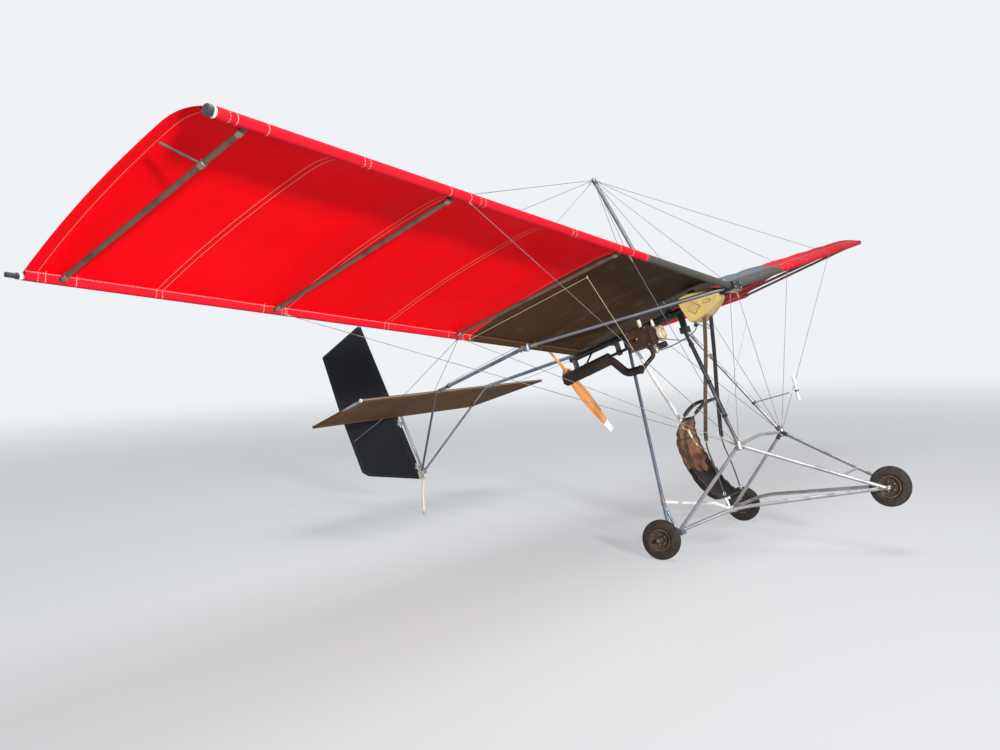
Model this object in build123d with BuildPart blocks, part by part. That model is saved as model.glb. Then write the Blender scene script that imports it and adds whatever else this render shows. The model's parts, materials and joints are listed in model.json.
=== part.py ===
from build123d import *
from math import cos, radians, sin
import os

# A single-seat, wire-braced pusher microlight of bolted tube, millimetres. +Z up, nose toward -Y,
# starboard -X. Everything is set out in the rig frame, where the root tubes lie level and the main
# axle is the origin. The whole rig is then tipped back onto its tail skid, as it parks.
os.makedirs("parts", exist_ok=True)

PARKED_PITCH = 16.7
WHEEL_RADIUS = 149.0

# Wing
SPAN = 9750.0
HALF_SPAN = SPAN / 2
CAMBER = 0.070
CREST_AT = 0.20
NOSE = (0.0, -812.0, 1705.0)
LE_TIP = (HALF_SPAN, -726.0, 2393.0)
TE_ROOT = (0.0, 690.0, 1640.0)
TE_TIP = (HALF_SPAN + 60, 800.0, 2268.0)
CORNER_X = 750.0
STRUTS = {"inner": 0.3387 * HALF_SPAN, "middle": 0.6835 * HALF_SPAN, "outer": 0.9575 * HALF_SPAN}
SAIL_ROOT_X = 20.0
SAIL_TIP_X = HALF_SPAN - 25
TIP_BRACE = (15.0, 40.0, 96.0)
TIP_BRACE_TUBE = 14.0
TIP_BRACE_SHARE = 0.22
SAIL_THICK = 3.0
SAIL_GAP = 0.6
SLEEVE_LEAN = 35.0
KINGPOST_FOOT = (0.0, -235.0, 1700.0)
KINGPOST_TOP = (0.0, 57.0, 2985.0)

# Tube and wire diameters
LE_TUBE = 50.0
TE_TUBE = 32.0
PLUG = (26.0, 60.0)
KEEL_TUBE = 50.0
BOOM_TUBE = 32.0
STRUT_TUBE = 28.0
CAGE_TUBE = 28.0
BAR_TUBE = 25.0
PEG_TUBE = 20.0
TAIL_TUBE = 25.0
TAIL_STRUT = 20.0
STAY_WIRE = 4.0

# Keel and cage
KEEL_NOSE = (0.0, -772.0, 1701.0)
KEEL_TAIL = (0.0, 775.0, 1608.0)
NOSE_BLOCK = (170.0, 90.0, 64.0)
APEX = (0.0, -324.0, 1513.0)
APEX_BLOCK = (90.0, 56.0, 50.0)
CHEEK_Y = 190.0
CHEEK = (8.0, 64.0, 128.0)
CORNER_POST = (34.0, 62.0)
FOOT_CORNER = (481.0, -656.0, 508.0)
FOOT_KNUCKLE = (24.0, 60.0)
FOOT_BAR_RISE = 32.0
REAR_TOP = (42.0, 180.0, 1560.0)
REAR_FOOT = (657.0, 10.0, 0.0)
AXLE_INNER = 490.0
AXLE_BLOCK = (84.0, 70.0, 48.0)
AXLE_BLOCK_X = 540.0
NOSE_AXLE = (0.0, -1478.0, -81.0)
UPPER_STRUT_X = 94.0
LOWER_STRUT_X = 64.0
LOWER_BEND = (335.0, -412.0, 61.0)
PEG_Y = -1233.0
BRACE_ON_LEG = (558.0, 38.0, 253.0)
BRACE_BOW = [(-60.0, 22.0, 158.0), (300.0, 20.0, 98.0)]
BRACE_RADIUS = 500.0

# Wheels
TRACK_HALF = 835.0
TYRE_WIDTH = 75.0
RIM_RADIUS = 80.0
HUB_WIDTH = 84.0
HUB_RADIUS = 24.0
BOLT = 16.0
BOLT_GAP = 0.05

# Engine, exhaust and propeller
CASE = (104.0, 210.0, 100.0)
CASE_Z = 1556.0
CASE_CORNER = 14.0
SADDLE = (62.0, 34.0)
SADDLE_YS = (-72.0, 72.0)
CASE_BOSS = (30.0, 10.0)
STARTER = (66.0, 36.0)
STARTER_CHAMFER = 10.0
STARTER_HUB = (22.0, 10.0)
BARREL_RADIUS = 52.0
BARREL_FIN_INSET = (24.0, 20.0)
HEAD_SIZE = (46.0, 216.0, 172.0)
HEAD_FACE_X = -222.0
HEAD_CENTRE = (-5.0, 1548.0)
HEAD_BASE = 12.0
PLUG_BOSS = (12.0, 60.0)
SHAFT_FRONT = (0.0, 112.0, 1540.0)
PROP_HUB = (0.0, 840.0, 1491.0)
PROP_BOSS = (60.0, 40.0)
SHAFT_FLANGE = (45.0, 8.0)
BEARING = (27.0, 30.0)
PROP_RADIUS = 685.0
SHAFT = 25.0
PROP_ANGLE = 53.0
EXHAUST_X = -200.0

# Tail
STAB_FRONT = (1390.0, 1985.0, 1712.0)
STAB_REAR = (1180.0, 2785.0, 1690.0)
STAB_SKIN = 5.0
BOOM_END_X = 394.0
RUDDER_FOOT = (0.0, 2740.0, 1040.0)
RUDDER_HEAD = (0.0, 3000.0, 2685.0)
RUDDER_REAR = [
    (0.0, 3580.0, 2540.0),
    (0.0, 3545.0, 1950.0),
    (0.0, 3460.0, 1285.0),
    (0.0, 3393.0, 1232.0),
]
RUDDER_TUBE = 18.0
RUDDER_SKIN = 4.0
HINGE_GAP = 0.05
HINGE_HEIGHTS = (1150.0, 1610.0)
HINGE_RING = (21.0, 30.0)
HINGE_TONGUE = (12.0, 36.0, 26.0)
RUDDER_RIB = (1860.0, 1800.0)
RUDDER_RIB_TUBE = 14.0
POST_AHEAD = 50.0
POST_FOOT_Z = 1072.0
POST_SOCKET = (56.0, 40.0, 52.0)
POST_SOCKET_Z = POST_FOOT_Z + POST_SOCKET[2] / 2
SKID_ROD = 14.0
SKID_SIDE = 26.0
SKID_KNEE = (SKID_SIDE, 2792.0, 925.0)
SKID_BEND = 260.0
SKID_GROUND_Y = 2935.0
SKID_FOOT = 12.0

SIDES = (("right", -1), ("left", 1))

AXLE = Plane(
    origin=(0, 0, WHEEL_RADIUS),
    x_dir=(1, 0, 0),
    z_dir=(0, sin(radians(PARKED_PITCH)), cos(radians(PARKED_PITCH))),
)


def mitre_point(before, corner, after, radius):
    """The outermost point where two tubes of this radius are mitred at a corner."""
    one = (Vector(*before) - Vector(*corner)).normalized()
    other = (Vector(*after) - Vector(*corner)).normalized()
    half_angle = radians(one.get_angle(other) / 2)
    return Vector(*corner) - (one + other).normalized() * (radius / sin(half_angle))


# The origin lies midway between the nose tyre's front and the rudder's top rear corner.
overall_front = AXLE.from_local_coords(Vector(*NOSE_AXLE)).Y - WHEEL_RADIUS
rudder_tip = mitre_point(RUDDER_HEAD, RUDDER_REAR[0], RUDDER_REAR[1], RUDDER_TUBE / 2)
overall_rear = AXLE.from_local_coords(rudder_tip).Y
CENTRE_Y = (overall_front + overall_rear) / 2
RIG = Plane(origin=(0, -CENTRE_Y, WHEEL_RADIUS), x_dir=AXLE.x_dir, z_dir=AXLE.z_dir)


def point(place):
    """A place of the rig frame, in the parked frame."""
    return RIG.from_local_coords(Vector(*place))


def aim(direction):
    """A direction of the rig frame, in the parked frame."""
    return point(direction) - point((0, 0, 0))


def plane(place, z_dir=(0, 0, 1), x_dir=(1, 0, 0)):
    return Plane(point(place), x_dir=aim(x_dir), z_dir=aim(z_dir))


def on_side(place, sign):
    return (place[0] * sign, place[1], place[2])


def between(start, end, share):
    return tuple(a + (b - a) * share for a, b in zip(start, end))


def line_at(start, end, axis, value):
    """The place on the line start-end whose coordinate on this axis has this value."""
    return between(start, end, (value - start[axis]) / (end[axis] - start[axis]))


def write(piece, name):
    piece.part.label = name
    export_step(piece.part, f"parts/{name}.step")


def tube(places, diameter, bend=0.0):
    """Adds a round bar along rig-frame places to the part being built."""
    with BuildLine() as route:
        if bend:
            FilletPolyline(*[point(p) for p in places], radius=bend)
        else:
            Polyline(*[point(p) for p in places])
    with BuildSketch(Plane(route.line @ 0, z_dir=route.line % 0)) as section:
        Circle(diameter / 2)
    sweep(section.sketch, path=route.line, transition=Transition.TRANSFORMED if bend else Transition.RIGHT)


def block(place, size, z_dir=(0, 0, 1), x_dir=(1, 0, 0)):
    """Adds a box centred on a rig-frame place, its sides along x_dir and z_dir."""
    with BuildSketch(plane(place, z_dir, x_dir).offset(-size[2] / 2)) as section:
        Rectangle(size[0], size[1])
    extrude(section.sketch, amount=size[2])


def post(place, radius, length, z_dir=(0, 0, 1), mode=Mode.ADD):
    """Adds a cylinder centred on a rig-frame place, its axis along z_dir."""
    x_dir = (0, 1, 0) if abs(z_dir[0]) > 0.9 else (1, 0, 0)
    with BuildSketch(plane(place, z_dir, x_dir).offset(-length / 2)) as section:
        Circle(radius)
    extrude(section.sketch, amount=length, mode=mode)


def strap(start, end, width, thickness, x_dir=(1, 0, 0)):
    """Adds a flat strap from start to end, its width along x_dir."""
    run = tuple(b - a for a, b in zip(start, end))
    with BuildSketch(plane(start, run, x_dir)) as section:
        Rectangle(width, thickness)
    extrude(section.sketch, amount=Vector(*run).length)


def cut(*pieces):
    for piece in pieces:
        add(piece.part, mode=Mode.SUBTRACT)


CORNER = line_at(TE_ROOT, TE_TIP, 0, CORNER_X)


def keel_at(y):
    return line_at(KEEL_NOSE, KEEL_TAIL, 1, y)


# The keel: its tube, the nose block that the wing and root tubes run into, the block hung below it
# for the two front tubes, the cheeks for the two rear tubes and the kingpost's foot.
with BuildPart() as keel:
    tube([KEEL_NOSE, KEEL_TAIL], KEEL_TUBE)
    block(NOSE, NOSE_BLOCK)
    block(APEX, APEX_BLOCK)
    hanger_top = keel_at(APEX[1])
    block(between(APEX, hanger_top, 0.5), (34, 44, hanger_top[2] - APEX[2]))
    for _, sign in SIDES:
        block((sign * (KEEL_TUBE / 2 + 3), CHEEK_Y, keel_at(CHEEK_Y)[2] - 44), CHEEK)
    post(between(keel_at(KINGPOST_FOOT[1]), KINGPOST_FOOT, 0.5), 26, 44)
write(keel, "keel_tube")

# The kingpost leans aft from the keel and ends in a cap that the upper stays meet.
with BuildPart() as kingpost:
    tube([KINGPOST_FOOT, KINGPOST_TOP], BOOM_TUBE)
    with Locations(point(KINGPOST_TOP)):
        Sphere(22)
    cut(keel)
write(kingpost, "kingpost")

# Stabilizer: a trapezoid of tube with a centre rib and one rib behind each boom.
with BuildPart() as stabilizer:
    for _, sign in SIDES:
        corners = [on_side(STAB_FRONT, sign), on_side(STAB_REAR, sign)]
        tube([(0, *STAB_FRONT[1:]), *corners, (0, *STAB_REAR[1:])], TAIL_TUBE)
    for rib_x in (-BOOM_END_X, 0.0, BOOM_END_X):
        tube([(rib_x, *STAB_FRONT[1:]), (rib_x, *STAB_REAR[1:])], PEG_TUBE)
write(stabilizer, "stabilizer_frame")

with BuildPart() as stabilizer_skin:
    stab_run = tuple(b - a for a, b in zip((0, *STAB_FRONT[1:]), (0, *STAB_REAR[1:])))
    stab_plane = plane((0, *STAB_FRONT[1:]), (0, -stab_run[2], stab_run[1]))
    stab_chord = Vector(*stab_run).length
    with BuildSketch(stab_plane.offset(-STAB_SKIN / 2)):
        with BuildLine():
            Polyline(
                (-STAB_FRONT[0], 0),
                (STAB_FRONT[0], 0),
                (STAB_REAR[0], stab_chord),
                (-STAB_REAR[0], stab_chord),
                close=True,
            )
        make_face()
    extrude(amount=STAB_SKIN)
    cut(stabilizer)
write(stabilizer_skin, "stabilizer_skin")

# Wing edges, root tubes and tail booms. The boom carries the corner post that its neighbours run into.
STAB_BOOM = (BOOM_END_X, STAB_FRONT[1], STAB_FRONT[2])
leading_edges = {}
trailing_edges = {}
root_tubes = {}
booms = {}
for side, sign in SIDES:
    with BuildPart() as boom:
        tube([on_side(CORNER, sign), on_side(STAB_BOOM, sign)], BOOM_TUBE)
        post(on_side(CORNER, sign), *CORNER_POST)
        cut(stabilizer)
    booms[side] = boom
    write(boom, f"tail_boom_{side}")

    with BuildPart() as leading_edge:
        tube([on_side(line_at(NOSE, LE_TIP, 0, 40), sign), on_side(LE_TIP, sign)], LE_TUBE)
        cut(keel)
    leading_edges[side] = leading_edge
    write(leading_edge, f"leading_edge_{side}")

    with BuildPart() as trailing_edge:
        plug_start = line_at(TE_ROOT, TE_TIP, 0, TE_TIP[0] - PLUG[1])
        tube([on_side(CORNER, sign), on_side(plug_start, sign)], TE_TUBE)
        tube([on_side(between(TE_ROOT, plug_start, 0.99), sign), on_side(TE_TIP, sign)], PLUG[0])
        cut(boom)
    trailing_edges[side] = trailing_edge
    write(trailing_edge, f"trailing_edge_{side}")

    with BuildPart() as root_tube:
        tube([(62 * sign, NOSE[1] + 20, NOSE[2]), on_side(CORNER, sign)], BOOM_TUBE)
        cut(keel, boom)
    root_tubes[side] = root_tube
    write(root_tube, f"root_tube_{side}")

# Compression struts from edge to edge under the sail. The outer one carries the tip brace.
wing_struts = {}
for side, sign in SIDES:
    for place, station in STRUTS.items():
        front = line_at(NOSE, LE_TIP, 0, station)
        rear = line_at(TE_ROOT, TE_TIP, 0, station)
        with BuildPart() as wing_strut:
            tube([on_side(front, sign), on_side(rear, sign)], STRUT_TUBE)
            if place == "outer":
                knuckle = between(front, rear, TIP_BRACE_SHARE)
                inboard, aft, rise = TIP_BRACE
                brace_end = (SAIL_TIP_X - inboard, knuckle[1] + aft, knuckle[2] + rise)
                tube([on_side(knuckle, sign), on_side(brace_end, sign)], TIP_BRACE_TUBE)
            cut(leading_edges[side], trailing_edges[side])
        wing_struts[side, place] = wing_strut
        write(wing_strut, f"wing_strut_{place}_{side}")

# Sail: one cambered sheet a side, sleeved over the front of the leading edge, ruled from root to tip.
def camber_height(share):
    """Height of the mean line over the chord line, both as shares of the chord."""
    if share < CREST_AT:
        return CAMBER / CREST_AT**2 * (2 * CREST_AT * share - share**2)
    return CAMBER / (1 - CREST_AT) ** 2 * (1 - 2 * CREST_AT + 2 * CREST_AT * share - share**2)


def sail_points(x, sign, out):
    """Places round one section: sleeve bottom, front and top, two on the rise, crest, back and hem."""
    front = line_at(NOSE, LE_TIP, 0, x)
    rear = line_at(TE_ROOT, TE_TIP, 0, x)
    chord = Vector(0, rear[1] - front[1], rear[2] - front[2])
    along = chord.normalized()
    up = Vector(0, -along.Z, along.Y)
    nose = Vector(sign * x, front[1], front[2])
    sleeve = LE_TUBE / 2 + SAIL_GAP + out
    lean = radians(SLEEVE_LEAN)

    def at(share):
        base = sleeve + (TE_TUBE / 2 + SAIL_GAP + out - sleeve) * share
        return nose + along * (chord.length * share) + up * (base + camber_height(share) * chord.length)

    ring = [nose - up * sleeve, nose - along * sleeve, nose + (up * cos(lean) - along * sin(lean)) * sleeve]
    return [point(tuple(p)) for p in ring + [at(s) for s in (0.1, CREST_AT, 0.6, 1.0)]]


sails = {}
for side, sign in SIDES:
    with BuildPart() as sail:
        for x in (SAIL_ROOT_X, SAIL_TIP_X):
            over = sail_points(x, sign, SAIL_THICK)
            under = sail_points(x, sign, 0.0)
            with BuildSketch(Plane(over[0], x_dir=aim((0, 1, 0)), z_dir=(1, 0, 0))) as section:
                flat = [[section.workplanes[0].to_local_coords(p) for p in edge] for edge in (over, under)]
                with BuildLine():
                    for edge in flat:
                        ThreePointArc(edge[0], edge[1], edge[2])
                        ThreePointArc(edge[2], edge[3], edge[4])
                        ThreePointArc(edge[4], edge[5], edge[6])
                    Line(flat[0][0], flat[1][0])
                    Line(flat[0][6], flat[1][6])
                make_face()
        loft(ruled=True)
        cut(keel, leading_edges[side], booms[side], *[wing_struts[side, place] for place in STRUTS])
    sails[side] = sail
    write(sail, f"sail_{side}")

# Foot bar, with a knuckle at each end that the front of the cage meets.
with BuildPart() as foot_bar:
    mid = (0.0, FOOT_CORNER[1], FOOT_CORNER[2] + FOOT_BAR_RISE)
    tube([on_side(FOOT_CORNER, -1), mid, FOOT_CORNER], BAR_TUBE, 400)
    for _, sign in SIDES:
        post(on_side(FOOT_CORNER, sign), *FOOT_KNUCKLE)
write(foot_bar, "foot_bar")

# The nose wheel's axle bolt, with a collar outside each pair of struts.
with BuildPart() as nose_axle:
    collar_x = UPPER_STRUT_X + CAGE_TUBE / 2 + 4
    post(NOSE_AXLE, BOLT / 2, 2 * collar_x, (1, 0, 0))
    for _, sign in SIDES:
        post((sign * collar_x, *NOSE_AXLE[1:]), 12, 6, (1, 0, 0))
write(nose_axle, "nose_axle")

# Rear legs: down tube, stub axle with its block and wheel bolt, and the short tie between them.
legs = {}
for side, sign in SIDES:
    with BuildPart() as leg:
        tube([on_side(REAR_TOP, sign), on_side(REAR_FOOT, sign)], CAGE_TUBE)
        stub_end = TRACK_HALF - HUB_WIDTH / 2 - 1
        post((sign * (AXLE_INNER + stub_end) / 2, 0, 0), CAGE_TUBE / 2, stub_end - AXLE_INNER, (1, 0, 0))
        block((sign * AXLE_BLOCK_X, -14, 0), AXLE_BLOCK)
        bolt_end = TRACK_HALF + HUB_WIDTH / 2 + 1
        post((sign * (stub_end + bolt_end) / 2, 0, 0), BOLT / 2, bolt_end - stub_end + 2, (1, 0, 0))
        post((sign * (bolt_end + 5), 0, 0), 13, 10, (1, 0, 0))
        tube([on_side(BRACE_ON_LEG, sign), (sign * AXLE_BLOCK_X, 0, 0)], PEG_TUBE)
        cut(keel)
    legs[side] = leg
    write(leg, f"rear_leg_{side}")

with BuildPart() as cross_brace:
    brace_foot = (AXLE_BLOCK_X, 0, 4)
    tube([on_side(BRACE_ON_LEG, -1), *BRACE_BOW, brace_foot], CAGE_TUBE, BRACE_RADIUS)
    cut(legs["right"], legs["left"])
write(cross_brace, "cross_brace")

# The rest of the cage
front_tubes = {}
upper_struts = {}
for side, sign in SIDES:
    with BuildPart() as front_tube:
        tube([(20 * sign, *APEX[1:]), on_side(FOOT_CORNER, sign)], CAGE_TUBE)
        cut(keel, foot_bar)
    front_tubes[side] = front_tube
    write(front_tube, f"front_down_tube_{side}")

    with BuildPart() as side_strut:
        tube([on_side(FOOT_CORNER, sign), (560 * sign, -25, 10)], CAGE_TUBE)
        cut(foot_bar, legs[side])
    write(side_strut, f"side_strut_{side}")

    with BuildPart() as upper_strut:
        axle_end = (UPPER_STRUT_X, *NOSE_AXLE[1:])
        tube([on_side(FOOT_CORNER, sign), on_side(between(FOOT_CORNER, axle_end, 1.013), sign)], CAGE_TUBE)
        cut(foot_bar, nose_axle)
    upper_struts[side] = upper_strut
    write(upper_strut, f"upper_nose_strut_{side}")

    with BuildPart() as lower_strut:
        axle_end = (LOWER_STRUT_X, *NOSE_AXLE[1:])
        past_axle = between(LOWER_BEND, axle_end, 1.013)
        tube([(520 * sign, -30, 8), on_side(LOWER_BEND, sign), on_side(past_axle, sign)], CAGE_TUBE, 700)
        cut(legs[side], nose_axle, upper_strut)
    write(lower_strut, f"lower_nose_strut_{side}")

with BuildPart() as foot_peg:
    peg_end = line_at(FOOT_CORNER, (UPPER_STRUT_X, *NOSE_AXLE[1:]), 1, PEG_Y)
    tube([on_side(peg_end, -1), peg_end], PEG_TUBE)
    cut(upper_struts["right"], upper_struts["left"])
write(foot_peg, "foot_peg")

# Wheels: a solid-looking tyre on a dished steel rim, turned about the axle.
TYRE_WALL = [
    # height above the rim, half width, both as shares: bead, lower wall, bulge, upper wall, shoulder, tread
    (0.0, 0.70),
    (0.11, 0.90),
    (0.34, 1.00),
    (0.68, 0.97),
    (0.90, 0.76),
    (1.0, 0.38),
]
WHEELS = {
    "right_wheel": (-TRACK_HALF, 0.0, 0.0),
    "left_wheel": (TRACK_HALF, 0.0, 0.0),
    "nose_wheel": NOSE_AXLE,
}
for name, hub in WHEELS.items():
    spin = Plane(point(hub), x_dir=(0, 0, 1), z_dir=(0, -1, 0))
    with BuildPart() as tyre:
        with BuildSketch(spin):
            depth, half_width = WHEEL_RADIUS - RIM_RADIUS, TYRE_WIDTH / 2
            wall = [(RIM_RADIUS + out * depth, half * half_width) for out, half in TYRE_WALL]
            with BuildLine():
                Polyline(*wall, *[(radius, -half) for radius, half in reversed(wall)], close=True)
            make_face()
        revolve(axis=Axis(point(hub), (1, 0, 0)))
    write(tyre, f"{name}_tyre")

    with BuildPart() as rim:
        with BuildSketch(spin):
            with Locations((RIM_RADIUS - 4, 0)):
                Rectangle(8, TYRE_WIDTH - 24)
            with Locations(((RIM_RADIUS + HUB_RADIUS) / 2 - 4, 0)):
                Rectangle(RIM_RADIUS - HUB_RADIUS, 8)
            bore = BOLT / 2 + BOLT_GAP
            with Locations(((HUB_RADIUS + bore) / 2, 0)):
                Rectangle(HUB_RADIUS - bore, HUB_WIDTH)
        revolve(axis=Axis(point(hub), (1, 0, 0)))
    write(rim, f"{name}_rim")

# Engine: a single cylinder lying out to starboard from a crankcase slung under the keel.
with BuildPart() as engine_case:
    block((0, 0, CASE_Z), CASE)
    for saddle_y in SADDLE_YS:
        saddle_top = keel_at(saddle_y)[2]
        saddle_foot = CASE_Z + CASE[2] / 2 - 2
        block((0, saddle_y, (saddle_top + saddle_foot) / 2), (*SADDLE, saddle_top - saddle_foot))
    post((0, CASE[1] / 2 - 1, CASE_Z), *CASE_BOSS, (0, 1, 0))
    cut(keel)
    along_case = Axis(point((0, 0, 0)), aim((0, 1, 0)))
    fillet(engine_case.edges().filter_by(along_case).sort_by(Axis.Z)[:2], CASE_CORNER)
write(engine_case, "engine_case")

with BuildPart() as starter:
    starter_front = -CASE[1] / 2 - STARTER[1]
    post((0, starter_front + STARTER[1] / 2, CASE_Z), *STARTER, (0, 1, 0))
    chamfer(starter.faces().sort_by(Axis.Y)[0].edges(), STARTER_CHAMFER)
    post((0, starter_front - STARTER_HUB[1] / 2 + 1, CASE_Z), *STARTER_HUB, (0, 1, 0))
write(starter, "starter_housing")

FIN = 4.0
BARREL_FINS = 7
HEAD_FINS = 9
barrel_end = HEAD_FACE_X + HEAD_SIZE[0]
with BuildPart() as cylinder:
    case_side = -CASE[0] / 2
    post(((case_side + barrel_end) / 2, *HEAD_CENTRE), BARREL_RADIUS, case_side - barrel_end, (1, 0, 0))
    fin_pitch = (case_side - 12 - barrel_end) / BARREL_FINS
    for i in range(BARREL_FINS):
        fin_place = (barrel_end + fin_pitch * (i + 0.5), *HEAD_CENTRE)
        block(fin_place, (FIN, HEAD_SIZE[1] - BARREL_FIN_INSET[0], HEAD_SIZE[2] - BARREL_FIN_INSET[1]))
write(cylinder, "engine_cylinder")

with BuildPart() as head:
    block((barrel_end - HEAD_BASE / 2, *HEAD_CENTRE), (HEAD_BASE, *HEAD_SIZE[1:]))
    fin_gap = (HEAD_SIZE[2] - FIN) / (HEAD_FINS - 1)
    for i in range(HEAD_FINS):
        fin_z = HEAD_CENTRE[1] - HEAD_SIZE[2] / 2 + FIN / 2 + fin_gap * i
        fin_depth = HEAD_SIZE[0] - HEAD_BASE + 1
        block((HEAD_FACE_X + fin_depth / 2, HEAD_CENTRE[0], fin_z), (fin_depth, HEAD_SIZE[1], FIN))
    post((HEAD_FACE_X + PLUG_BOSS[1] / 2 - 16, *HEAD_CENTRE), *PLUG_BOSS, (1, 0, 0))
write(head, "cylinder_head")

# The carburettor hangs ahead of the header with its filter forward. The plug cap's stand is on the
# cylinder and the fuel pump on the crankcase.
barrel_half_depth = (HEAD_SIZE[2] - BARREL_FIN_INSET[1]) / 2
barrel_top = HEAD_CENTRE[1] + barrel_half_depth
barrel_bottom = HEAD_CENTRE[1] - barrel_half_depth
FILTER = (26.0, 74.0)
FILTER_FRONT = (-84.0, -172.0, 1450.0)
CARBURETTOR = (17.0, 60.0)
CAP_STAND = (-120.0, -8.0)
CAP_STEPS = [(16.0, 34.0), (11.0, 62.0)]
PUMP_PLACE = (-38.0, -82.0)
PUMP_STEPS = [(15.0, 30.0), (11.0, 56.0)]
with BuildPart() as carburettor:
    filter_x, filter_y, filter_z = FILTER_FRONT
    post((filter_x, filter_y + FILTER[1] / 2, filter_z), *FILTER, (0, 1, 0))
    post((filter_x, filter_y + FILTER[1] + CARBURETTOR[1] / 2 - 1, filter_z + 7), *CARBURETTOR, (0, 1, 0))
    case_top = CASE_Z + CASE[2] / 2
    for place, base, steps in ((CAP_STAND, barrel_top, CAP_STEPS), (PUMP_PLACE, case_top, PUMP_STEPS)):
        for radius, height in steps:
            post((*place, base + height / 2), radius, height)
    cut(cylinder, engine_case)
write(carburettor, "carburettor")

# Exhaust: header from below the cylinder, one rising bend and a long silencer beside the keel.
SILENCER = [(EXHAUST_X, 300.0, 1478.0), (EXHAUST_X, 762.0, 1436.0)]
BEND = [(EXHAUST_X, 45.0, 1309.0), (EXHAUST_X, 185.0, 1315.0), (EXHAUST_X, 300.0, 1478.0)]
HEADER = [(-140.0, -50.0, barrel_bottom), (-140.0, -64.0, 1392.0)]
HEADER_TUBE, HEADER_BEND = 36.0, 44.0
BEND_TUBE, BEND_RADIUS = 66.0, 85.0
SILENCER_TUBE = 104.0
with BuildPart() as exhaust:
    tube([*HEADER, BEND[0], BEND[1]], HEADER_TUBE, HEADER_BEND)
    tube([BEND[0], BEND[1], BEND[2], between(*SILENCER, 0.2)], BEND_TUBE, BEND_RADIUS)
    tube(SILENCER, SILENCER_TUBE)
    cut(cylinder)
write(exhaust, "exhaust")

# Drive line: bearings on the keel, and the shaft that turns with the propeller.
shaft_run = tuple(b - a for a, b in zip(SHAFT_FRONT, PROP_HUB))
BEARING_YS = (300.0, 735.0)
with BuildPart() as bearings:
    for bearing_y in BEARING_YS:
        centre = line_at(SHAFT_FRONT, PROP_HUB, 1, bearing_y)
        post(centre, *BEARING, shaft_run)
        top = keel_at(bearing_y)
        block(between(centre, top, 0.5), (40, BEARING[1], top[2] - centre[2]))
    cut(keel)
    for bearing_y in BEARING_YS:
        centre = line_at(SHAFT_FRONT, PROP_HUB, 1, bearing_y)
        post(centre, SHAFT / 2 + BOLT_GAP, 2 * BEARING[1], shaft_run, Mode.SUBTRACT)
write(bearings, "shaft_bearings")

with BuildPart() as shaft:
    tube([SHAFT_FRONT, between(SHAFT_FRONT, PROP_HUB, 1.03)], SHAFT)
    flange_y = PROP_HUB[1] - PROP_BOSS[1] / 2 - SHAFT_FLANGE[1] / 2
    post(line_at(SHAFT_FRONT, PROP_HUB, 1, flange_y), *SHAFT_FLANGE, shaft_run)
    cut(engine_case)
write(shaft, "drive_shaft")

# Propeller: two blades lofted over four stations, each a flat-bottomed arc set at its own pitch.
BLADE_STATIONS = [
    # radius, chord, thickness, pitch
    (52.0, 62.0, 30.0, 42.0),
    (200.0, 104.0, 22.0, 30.0),
    (470.0, 98.0, 14.0, 17.0),
    (PROP_RADIUS, 62.0, 7.0, 12.0),
]
disc = plane(PROP_HUB, shaft_run, (1, 0, 0))
with BuildPart() as propeller:
    with BuildSketch(disc.offset(-PROP_BOSS[1] / 2)) as hub_sketch:
        Circle(PROP_BOSS[0])
    extrude(hub_sketch.sketch, amount=PROP_BOSS[1])
    for half_turn in (0, 180):
        turn = radians(PROP_ANGLE + half_turn)
        out = disc.x_dir * cos(turn) + disc.y_dir * sin(turn)
        sections = []
        for radius, chord, thickness, pitch in BLADE_STATIONS:
            twist = radians(pitch)
            chord_dir = out.cross(disc.z_dir) * cos(twist) - disc.z_dir * sin(twist)
            with BuildSketch(Plane(disc.origin + out * radius, x_dir=chord_dir, z_dir=out)) as blade_section:
                with BuildLine():
                    ThreePointArc((-chord / 2, 0), (0, thickness * 0.8), (chord / 2, 0))
                    ThreePointArc((chord / 2, 0), (0, -thickness * 0.2), (-chord / 2, 0))
                make_face()
            sections.append(blade_section.sketch)
        loft(sections)
    with BuildSketch(disc.offset(-PROP_BOSS[1])) as shaft_hole:
        Circle(SHAFT / 2)
    extrude(shaft_hole.sketch, amount=2 * PROP_BOSS[1], mode=Mode.SUBTRACT)
    cut(shaft)
write(propeller, "propeller")

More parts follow.
